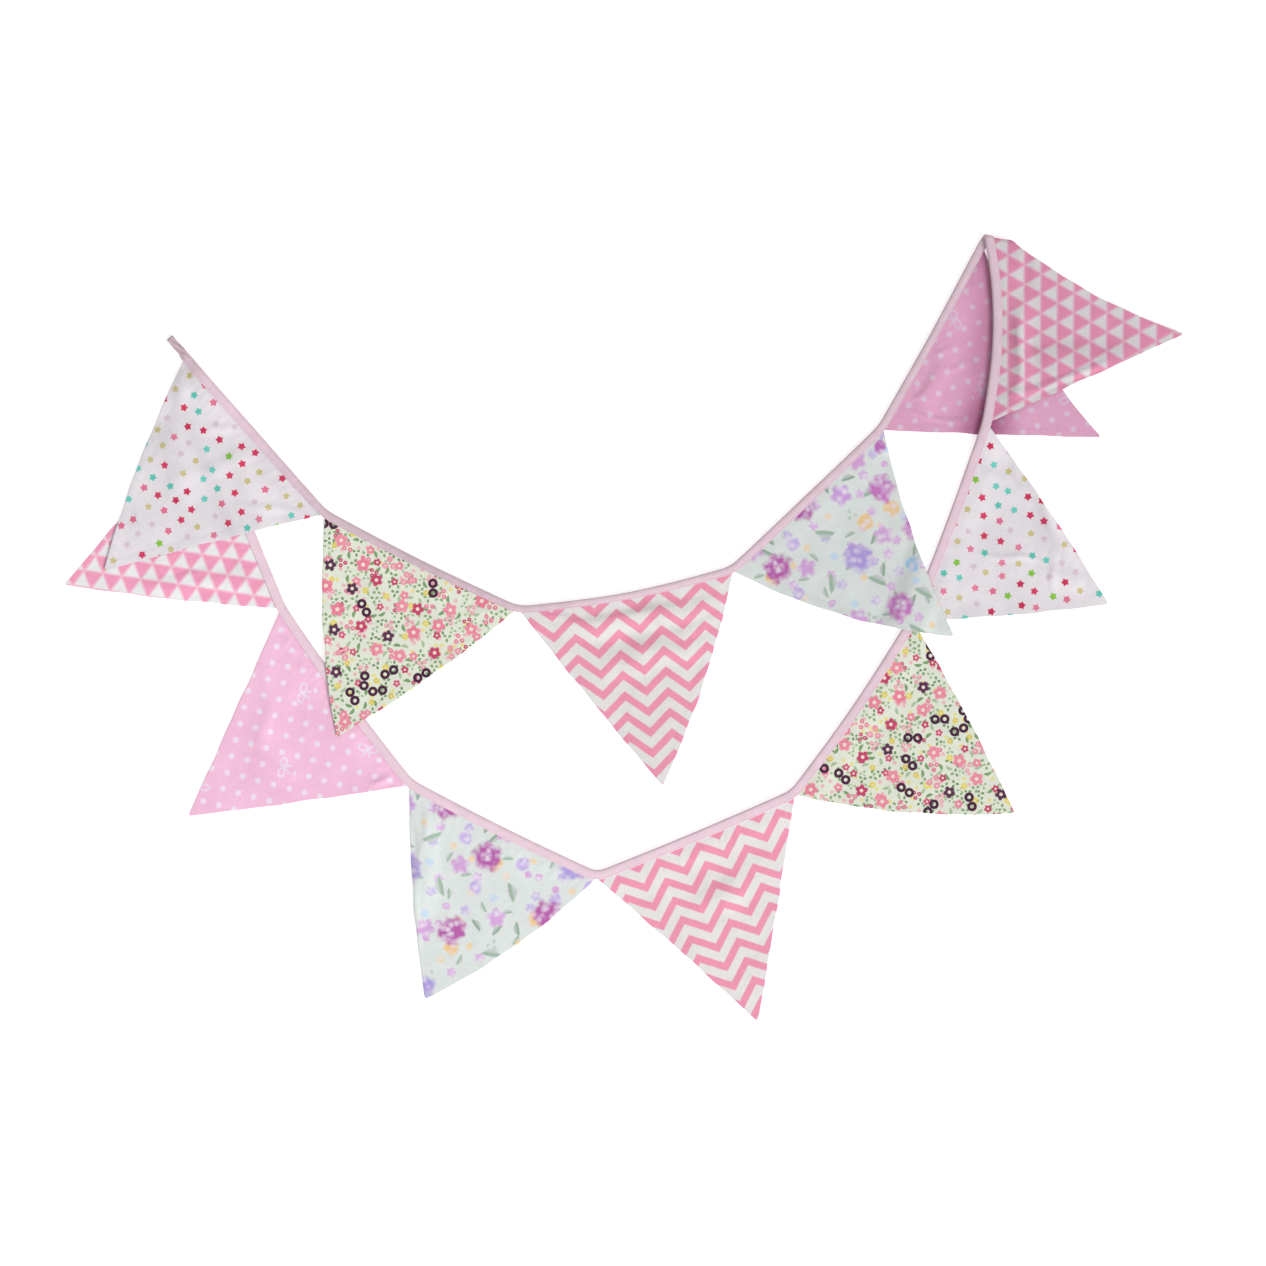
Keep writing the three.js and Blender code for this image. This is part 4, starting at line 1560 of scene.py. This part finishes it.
@dataclass
class Pennant:
    """A double-sided pennant: two printed cotton triangles sewn together and turned out."""

    shape: PennantShape
    bed: Bed
    columns: int = 100
    rows: int = 100
    edge_shares: tuple[float, ...] = (0.0, 0.0012, 0.0032, 0.007)
    fold_columns: int = 24
    fold_rows: int = 36
    rim_radius: float = 0.6
    seam_width: float = 5.0
    seam_dip: float = 0.22
    seam_slope: tuple[float, float] = (0.8, 2.5)
    rim_least: float = 0.02
    fold_shares: tuple[float, float] = (0.1, 0.2)
    top_seam: float = 4.0
    ripple_height: float = 0.45
    ripple_waves: int = 12
    ripple_lengths: tuple[float, float] = (16, 70)
    ripple_range: float = 130.0
    ripple_seed: int = 100
    free_from: tuple[float, float] = (2, 12)
    bed_from: tuple[float, float] = (0, 16)
    pucker_height: float = 0.25
    pucker_wave: float = 0.72
    pucker_drift: float = 2.0
    pucker_drift_wave: float = 0.11
    pucker_rise: tuple[float, float] = (1, 5)
    pucker_fall: tuple[float, float] = (6, 18)
    # Painted shadow: how dark the cloth is coloured beside a tape that lies over it, and how far that
    # reaches
    painted_shadow_tone: float = 0.64
    painted_shadow_reach: float = 34.0

    def shares(self) -> tuple[Array, Array]:
        """Returns the shares across and down the pennant: even, close at its edges, and closer
        near the crease on the pennant that is folded there."""
        edge = np.array(self.edge_shares)
        first, last = edge[-1], 1 - edge[-1]
        across = np.linspace(first, last, self.columns)
        down = np.linspace(0.0, last, self.rows)
        if self.shape.index == self.shape.string.folded_from:
            wide, deep = self.fold_shares
            close = np.linspace(first, wide, self.fold_columns)[:-1]
            across = np.append(close, np.linspace(wide, last, self.columns))
            close = np.linspace(0.0, deep, self.fold_rows)[:-1]
            down = np.append(close, np.linspace(deep, last, self.rows))
        columns = np.concatenate([edge[:-1], across, 1 - edge[-2::-1]])
        return columns, np.concatenate([down, 1 - edge[-2::-1]])

    def ripple(self, flat: Array) -> Array:
        """Returns the cloth's slight unevenness: a sum of sine waves in drawn directions, each as
        high as it is long, brought to between 0 and 1."""
        rng = np.random.default_rng(self.ripple_seed + self.shape.index)
        total = np.zeros(flat.shape[:-1])
        for _ in range(self.ripple_waves):
            length = rng.uniform(*self.ripple_lengths)
            angle, phase = rng.uniform(0, 2 * math.pi, 2)
            across = flat[..., 0] * math.cos(angle) + flat[..., 1] * math.sin(angle)
            total += length * np.sin(2 * math.pi * across / length + phase)
        return 0.5 + 0.5 * np.tanh(total / self.ripple_range)

    def pucker(self, s: Array, from_tape: Array) -> Array:
        """Returns the height of the small puckers beside the tape: the upper half of a sine wave
        along it, whose phase drifts, and which dies away on the cloth."""
        drift = self.pucker_drift * np.sin(s * self.pucker_drift_wave)
        wave = np.sin(s * self.pucker_wave + drift)
        height = self.pucker_height * wave * smooth(*self.pucker_rise, from_tape)
        return np.maximum(0, height) * (1 - smooth(*self.pucker_fall, from_tape))

    def hem_at(self, u: Array, v: Array) -> Array:
        """Returns the distance from the nearest sewn edge, a side's or the tip's."""
        cut = self.shape.cut
        slant = cut.depth / math.hypot(cut.depth, cut.span / 2)
        width = mix(cut.span, self.shape.tip_width, v)
        return np.minimum(np.minimum(u, 1 - u) * width * slant, (1 - v) * cut.depth)

    def painted_tones(self, laid: Array) -> Array:
        """Returns the painted shade of the cloth at laid places: its pennant's painted shade, and
        a painted shadow beside a tape that lies over it and keeps the light out."""
        tone = np.full(laid.shape[:-1], self.shape.cut.painted_shade)
        for underlay in UNDERLAYS:
            if self.shape.index + 1 in underlay.pennants:
                away = distance_to(self.bed.shapes[underlay.over - 1].laid_tape(), False, laid)
                tone = tone * mix(self.painted_shadow_tone, 1.0, smooth(0, self.painted_shadow_reach, away))
        return tone

    def build(self) -> Piece:
        """Builds the pennant's mesh.

        Two grids of points, one over the other, are closed round their rim. Near the sides and
        the tip the cloth rounds over as a half circle, inside them it is thicker over the seam
        allowance, and beside the tape it is drawn up in small puckers.

        Returns:
            The dressed piece.
        """
        shape = self.shape
        string = shape.string
        columns, rows = self.shares()
        u, v = np.meshgrid(columns, rows)
        s = mix(shape.start, shape.end, u)
        tucked = string.beside_tape(s[:1], string.tape_width / 2 - string.tuck)
        points = np.concatenate([tucked, shape.point(u, v)])
        s = np.concatenate([s[:1], s])
        v = np.concatenate([np.zeros_like(v[:1]), v])
        u = np.concatenate([u[:1], u])
        from_tape = v * shape.cut.depth
        offset = points - shape.middle
        flat = np.stack([dot(offset, shape.along), dot(offset, shape.out)], axis=-1)
        hem = self.hem_at(u, v)
        free = smooth(*self.free_from, from_tape)
        lift = self.bed.lift_at(from_tape) + shape.raised(points, from_tape)
        lift = lift + self.ripple_height * self.ripple(flat) * free + self.pucker(s, from_tape)
        inward = 1 - np.minimum(hem / self.rim_radius, 1)
        round_off = np.sqrt(np.clip(1 - inward**2, self.rim_least, 1))
        slope = (self.seam_width - self.seam_slope[0], self.seam_width + self.seam_slope[1])
        dip = self.seam_dip * smooth(*slope, hem)
        under_level = lift + string.sheet / 2 * (1 - round_off)
        over_level = lift + string.sheet / 2 * (1 + round_off) - dip * free
        laid = string.laid(shape.index, points, lift)
        share = smooth(*self.bed_from, from_tape)
        bed = mix(self.bed.under_tape(shape.index, s), self.bed.under(shape.index, laid), share)
        middle = lift + string.sheet / 2
        under = string.settle(shape.index, points, under_level, middle, bed)
        over = string.settle(shape.index, points, over_level, middle, bed)
        return self.close(under, over, flat, hem)

    def close(self, under: Array, over: Array, flat: Array, hem: Array) -> Piece:
        """Closes the two faces into one piece and dresses it.

        Args:
            under: grid of the lower face's points.
            over: grid of the upper face's points.
            flat: their places on the flat cut.
            hem: their distances from the sewn edges.

        Returns:
            The piece, with its flat map, its hem distances, its painted shade and its print.
        """
        rows, columns = hem.shape
        size = rows * columns
        lower = grid_quads(rows, columns)
        upper = grid_quads(rows, columns, first=size)[:, ::-1]
        number = np.arange(size).reshape(rows, columns)
        rim = np.concatenate([number[0, :-1], number[:-1, -1], number[-1, :0:-1], number[:0:-1, 0]])
        after = np.roll(rim, -1)
        side = np.stack([rim, rim + size, after + size, after], axis=1)
        points = np.concatenate([under.reshape(-1, 3), over.reshape(-1, 3)])
        piece = make_piece(self.shape.node + "_cloth", points, lower, upper, side)
        cut = self.shape.cut
        angle = math.radians(cut.grain)
        cos, sin = math.cos(angle), math.sin(angle)
        turned = flat.reshape(-1, 2) @ np.array([[cos, sin], [-sin, cos]])
        on_cloth = map_flat(piece.data, np.tile(turned + np.array(cut.shift), (2, 1)))
        add_values(piece.data, "hem", np.tile(hem.ravel(), 2))
        # The tone attribute carries the painted shade and painted shadow into the material
        add_values(piece.data, "tone", np.tile(self.painted_tones(over[..., :2]).ravel(), 2))
        finish = FINISHES[cut.cloth]
        for layer_number, layer in enumerate(finish.layers):
            layer.stamp(piece.data, f"layer_{layer_number}", on_cloth)
        piece.data.materials.append(material_of(finish))
        self.declare(piece)
        return piece

    def declare(self, piece: Piece) -> None:
        """Attaches the cloth to the root body and hides the CAD node that it stands for; it also lists
        the pieces that it lies on, which nothing uses.
        """
        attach(piece, "root")
        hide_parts(self.shape.node)
        under = self.bed.pieces_under(self.shape.index)


@dataclass
class BindingTape:
    """The folded tape that takes the pennants' top edges, and its line of stitches."""

    string: LaidString
    bed: Bed
    spacing: float = 1.7
    fold_spacing: float = 0.5
    fold_reach: tuple[float, float] = (12.0, 14.0)
    spacing_gap: float = 0.3
    mouth: float = 2.0
    bend_radius: float = 1.6
    face_start: float = 2.8
    lip_radius: float = 0.45
    lip_steps: int = 5
    bend_steps: int = 9
    crown: float = 0.12
    crown_shares: tuple[float, ...] = (0.0, 0.4, 1.0, 0.5, 0.0, 0.5, 0.0)
    groove_shares: tuple[float, ...] = (0.0, 0.0, 0.0, 0.2, 1.0, 0.2, 0.0)
    groove_half: float = 0.5
    pull_height: float = 0.08
    pull_wave: float = 0.9
    pull_drift: float = 1.5
    pull_drift_wave: float = 0.23
    stitch_inset: float = 1.5
    stitch_groove: float = 0.16
    stitch_length: float = 2.5
    stitch_pitch: float = 3.3
    stitch_margin: float = 2.0
    stitch_rise: float = 0.1
    stitch_depth: float = 0.22
    stitch_sides: int = 6
    stitch_shares: tuple[float, ...] = (0.0, 0.15, 0.5, 0.85, 1.0)
    stitch_sizes: tuple[float, ...] = (0.35, 0.85, 1.0, 0.85, 0.35)
    thread_radius: float = 0.17
    unfolded_width: float = 18.5
    end_hem: float = 2.0
    stub_narrowing: float = 0.83
    stub_ease: tuple[float, float] = (8.0, 1.0)
    # Painted shade on the stub: its tone and streaks stand for the shade of the twisted, curled end
    stub_painted_shade: float = 0.92
    stub_painted_streak: float = 0.34
    stub_blend: float = 6.0
    painted_streak_waves: tuple[float, float] = (0.45, 1.5)

    def stations(self) -> Array:
        """Returns places along the tape, close together round the fold."""
        even = np.arange(0, self.string.length, self.spacing)
        fold = self.string.fold_place
        before, past = self.fold_reach
        close = np.arange(fold - before, fold + self.string.roll_length + past, self.fold_spacing)
        outside = (even < close[0] - self.spacing_gap) | (even > close[-1] + self.spacing_gap)
        return np.sort(np.concatenate([even[outside], close, [self.string.length]]))

    def pennant_at(self, s: Array) -> Array:
        """Returns the pennant whose stretch of tape each place belongs to."""
        gaps = [cut.gap for cut in PENNANTS[1:]]
        ends = [end + gap / 2 for (_, end), gap in zip(self.string.spans, gaps)]
        return np.searchsorted(np.array(ends), s, side="left")

    def channel_at(self, s: Array) -> Array:
        """Returns the channel's height, which closes to a slit where the ends are pressed flat."""
        string = self.string
        first = string.stub_length
        last = string.spans[-1][1] + self.mouth
        opening = smooth(first - string.stub_closed, first - self.mouth, s)
        closing = 1 - smooth(last, last + string.stub_closed, s)
        return mix(string.clearance, string.channel, np.minimum(opening, closing))

    def section(self, s: Array) -> tuple[Array, Array]:
        """Draws the tape's section at each place.

        It is a loop: the under face out from the fold to its lip, round the lip and back along
        the channel, up the channel's end, out to the upper lip, back over the top and round the
        fold as half an ellipse. The faces have a slight crown and a groove for the stitches.

        Args:
            s: places along the tape.

        Returns:
            The loop's distances across, and its heights at each place.
        """
        string = self.string
        wall = string.tape_wall
        outer = -string.tape_width / 2
        inner = string.tape_width / 2
        lip = inner - self.lip_radius
        stitch = inner - self.stitch_inset
        top = (2 * wall + self.channel_at(s))[:, None]
        half = self.groove_half
        bend_end = outer + self.bend_radius
        crest = outer + self.face_start
        face = np.array([bend_end, crest, 0.0, stitch - half, stitch, stitch + half, lip])
        swell = np.array(self.crown_shares) * self.crown
        groove = np.array(self.groove_shares) * self.stitch_groove
        turn = np.linspace(-math.pi / 2, math.pi / 2, self.lip_steps)[1:-1]
        lip_across = lip + self.lip_radius * np.cos(turn)
        lip_rise = wall / 2 * (1 + np.sin(turn))
        bend = np.linspace(math.pi / 2, 3 * math.pi / 2, self.bend_steps)[1:-1]
        bend_across = outer + self.bend_radius * (1 + np.cos(bend))
        channel = np.array([lip, outer + wall])
        out = [face, lip_across, channel]
        back = [channel[::-1], lip_across, face[::-1], bend_across]
        across = np.concatenate([*out, *back])
        ones = np.ones_like(top)
        drift = self.pull_drift * np.sin(s * self.pull_drift_wave)
        pull = self.pull_height * np.sin(s * self.pull_wave + drift)[:, None]
        heights = np.concatenate(
            [
                ones * groove,
                ones * lip_rise,
                ones * wall * np.ones(2),
                (top - wall) * np.ones(2),
                top - wall + lip_rise,
                top - (groove + self.crown - swell - pull * (swell > 0))[:, ::-1],
                top / 2 + (top / 2 - self.crown * (1 + np.sin(bend)) / 2) * np.sin(bend),
            ],
            axis=1,
        )
        return across, heights

    def settle(self, s: Array, across: Array, heights: Array, thickness: Array) -> Array:
        """Puts points of the tape in their places.

        Args:
            s: places along the tape, one for each row.
            across: distances across, in rows.
            heights: levels in the tape's thickness, in rows.
            thickness: the tape's thickness at each place.

        Returns:
            Points in millimetres, row by row.
        """
        points = np.empty((*heights.shape, 3))
        owner = self.pennant_at(s)
        for index in range(len(PENNANTS)):
            rows = owner == index
            if not rows.any():
                continue
            along = np.repeat(s[rows][:, None], heights.shape[1], axis=1)
            place = self.string.beside_tape(along, across[rows])
            bed = self.bed.under_tape(index, s[rows])[:, None]
            middle = thickness[rows][:, None] / 2
            points[rows] = self.string.settle(index, place, heights[rows], middle, bed)
        return points

    def build(self) -> Piece:
        """Builds the tape as its section carried along the strip, with both ends closed.

        Returns:
            The dressed tape.
        """
        string = self.string
        s = self.stations()
        across, heights = self.section(s)
        wide = self.drawn_in(s, across[None])
        thickness = 2 * string.tape_wall + self.channel_at(s)
        points = self.settle(s, wide, heights, thickness)
        ring = points.shape[1]
        quads = grid_quads(len(s), ring, wrap=True)
        middles = points[[0, -1]].mean(axis=1)
        body = points.reshape(-1, 3)
        start = np.arange(ring)
        after = (start + 1) % ring
        first = len(body)
        last = (len(s) - 1) * ring
        low_cap = np.stack([after, start, np.full(ring, first)], axis=1)
        high_cap = np.stack([last + start, last + after, np.full(ring, first + 1)], axis=1)
        tape = make_piece(
            "binding_tape_cloth", np.vstack([body, middles]), quads, low_cap, high_cap
        )
        flat = np.stack([np.repeat(s[:, None], ring, axis=1), wide], axis=-1).reshape(-1, 2)
        ends = np.array([[s[0], 0.0], [s[-1], 0.0]])
        map_flat(tape.data, np.vstack([flat, ends]))
        # The distance from the fold sets the painted shade along the tape's folded edge
        from_fold = wide - wide.min(axis=1, keepdims=True)
        add_values(tape.data, "hem", np.append(from_fold, [self.end_hem, self.end_hem]))
        # The tone attribute carries the tape's painted shade, and the stub's painted shade on its end
        # cap
        add_values(tape.data, "tone", np.append(self.painted_tones(s, wide), [self.stub_painted_shade, 1.0]))
        tape.data.materials.append(material_of(TapeCotton("plain_cotton_tape", "#F2D6E2")))
        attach(tape, "root")
        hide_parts("binding_tape")
        return tape

    def along_strip(self, s: Array, values: list[float]) -> Array:
        """Returns each pennant's value, blended along the tape from middle to middle."""
        centres = [(shape.start + shape.end) / 2 for shape in self.bed.shapes]
        return np.interp(s, centres, values)[:, None]

    def drawn_in(self, s: Array, across: Array) -> Array:
        """Draws the tape in to the width that shows.

        Args:
            s: places along the tape, one for each row.
            across: distances across the full width, in rows.

        Returns:
            The distances across: the lip stays and the fold comes in by what doesn't show, and
            on the stub the lip comes in as well.
        """
        string = self.string
        half = string.tape_width / 2
        shown = self.along_strip(s, [cut.tape_shown for cut in PENNANTS])
        before, past = self.stub_ease
        past_stub = smooth(string.stub_length - before, string.stub_length - past, s)[:, None]
        width = shown * mix(self.stub_narrowing, 1.0, past_stub)
        return half - shown + (across + half) / string.tape_width * width

    def painted_tones(self, s: Array, across: Array) -> Array:
        """Finds the tape's painted shade.

        Args:
            s: places along the tape.
            across: places across it, one row to each place along.

        Returns:
            Each pennant's painted tape shade, blended along the tape, with darker streaks of
            painted shade on the stub, standing for the shade of its twist.
        """
        along = self.along_strip(s, [cut.tape_shade for cut in PENNANTS])
        end = self.string.stub_length
        stub = 1 - smooth(end - self.stub_blend, end + self.stub_blend, s)[:, None]
        waves = self.painted_streak_waves
        painted_streak = 0.5 + 0.5 * np.sin(waves[0] * s[:, None] + waves[1] * across)
        return along * mix(1.0, self.stub_painted_shade - self.stub_painted_streak * painted_streak, stub)

    def build_stitches(self) -> Piece:
        """Builds the stitches of both faces as one piece.

        Each is a short round thread of five rings, thin at both ends, which lies in the
        groove: its level follows half a sine wave from end to end.

        Returns:
            The dressed stitches.
        """
        string = self.string
        sides = self.stitch_sides
        margin = self.stitch_margin
        end = string.length - self.stitch_length - margin
        starts = np.arange(margin, end, self.stitch_pitch)
        share = np.array(self.stitch_shares)
        size = np.array(self.stitch_sizes)[:, None] * self.thread_radius
        angle = np.arange(sides) * 2 * math.pi / sides
        along = (starts[:, None] + share * self.stitch_length)[..., None] + np.zeros(sides)
        inset = string.tape_width / 2 - self.stitch_inset
        across = np.broadcast_to(inset + size * np.cos(angle), along.shape)
        ring_rise = size * np.sin(angle)
        level = self.stitch_rise * np.sin(math.pi * share)[:, None]
        top = (2 * string.tape_wall + self.channel_at(along[:, 0, 0]))[:, None, None]
        over = top - self.stitch_groove - self.crown + level + ring_rise
        under = self.stitch_depth - level + ring_rise
        s = along.reshape(-1)
        thickness = np.broadcast_to(top, along.shape).reshape(-1)
        wide = self.drawn_in(s, across.reshape(-1, 1))
        blocks = []
        for heights in (over, under):
            levels = np.broadcast_to(heights, along.shape).reshape(-1, 1)
            blocks.append(self.settle(s, wide, levels, thickness))
        points = np.concatenate(blocks).reshape(-1, 3)
        count = len(points) // (len(share) * sides)
        single = grid_quads(len(share), sides, wrap=True)
        # Two four-sided faces close a ring of six points
        cap = np.array([[3, 2, 1, 0], [5, 4, 3, 0]])
        end_cap = (len(share) - 1) * sides + cap[:, ::-1]
        single = np.concatenate([single, cap, end_cap])
        offsets = np.arange(count)[:, None, None] * len(share) * sides
        quads = (single[None] + offsets).reshape(-1, 4)
        stitches = make_piece("binding_tape_stitches", points, quads)
        stitches.data.materials.append(material_of(SewingThread()))
        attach(stitches, "root")
        return stitches


# The studio


@dataclass
class Studio:
    """White paper, a broad soft sky and one large lamp, seen from straight above."""

    frame_width: float = 1.055
    centre: tuple[float, float] = (0.00745, -0.00485)
    lens: float = 85.0
    sensor: float = 36.0
    floor_size: float = 4.0
    floor_drop: float = 0.0003
    sky_strength: float = 0.6
    lamp_power: float = 2.4
    lamp_spread: float = 24.0
    lamp_tilt: tuple[float, float] = (36.0, 42.0)

    def build_floor(self) -> None:
        """Builds the paper as a square plane just under the bunting."""
        half = self.floor_size / 2 / MM
        corners = np.array([[-half, -half], [half, -half], [half, half], [-half, half]])
        points = np.column_stack([corners, np.full(4, -self.floor_drop / MM)])
        floor = make_piece("background_paper", points, np.array([[0, 1, 2, 3]]))
        floor.data.materials.append(material_of(PaperFloor()))

    def build_camera(self) -> None:
        """Sets the camera over the middle of the frame, so high that its width fills the view."""
        camera = bpy.data.cameras.new("camera")
        camera.lens = self.lens
        camera.sensor_width = self.sensor
        rig = bpy.data.objects.new("camera", camera)
        rig.location = (*self.centre, self.frame_width * self.lens / self.sensor)
        bpy.context.scene.collection.objects.link(rig)
        bpy.context.scene.camera = rig

    def build_lights(self) -> None:
        """Builds the even sky and the soft lamp, which slants so that folds show."""
        world = bpy.data.worlds.new("soft_sky")
        world.use_nodes = True
        sky = world.node_tree.nodes["Background"]
        sky.inputs["Color"].default_value = linear("#FFFFFF")
        sky.inputs["Strength"].default_value = self.sky_strength
        bpy.context.scene.world = world
        lamp = bpy.data.lights.new("soft_lamp", "SUN")
        lamp.energy = self.lamp_power
        lamp.angle = math.radians(self.lamp_spread)
        lamp_rig = bpy.data.objects.new("soft_lamp", lamp)
        lamp_rig.rotation_euler = (*(math.radians(tilt) for tilt in self.lamp_tilt), 0.0)
        bpy.context.scene.collection.objects.link(lamp_rig)
        bpy.context.scene.view_settings.view_transform = "Standard"

    def build(self) -> None:
        """Builds the camera, the lights and the floor."""
        self.build_camera()
        self.build_lights()
        self.build_floor()


def main() -> None:
    """Loads the frame, builds the studio, the tape and the pennants."""
    logging.basicConfig(level=logging.INFO, format="%(message)s")
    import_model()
    Studio().build()
    string = LaidString()
    shapes = [PennantShape(string, index) for index in range(len(PENNANTS))]
    bed = Bed(string, shapes)
    tape = BindingTape(string, bed)
    for piece in (tape.build(), tape.build_stitches()):
        log.info("built %s with %d faces", piece.name, len(piece.data.polygons))
    for shape in shapes:
        piece = Pennant(shape, bed).build()
        log.info("built %s with %d faces", piece.name, len(piece.data.polygons))


if __name__ == "__main__":
    main()
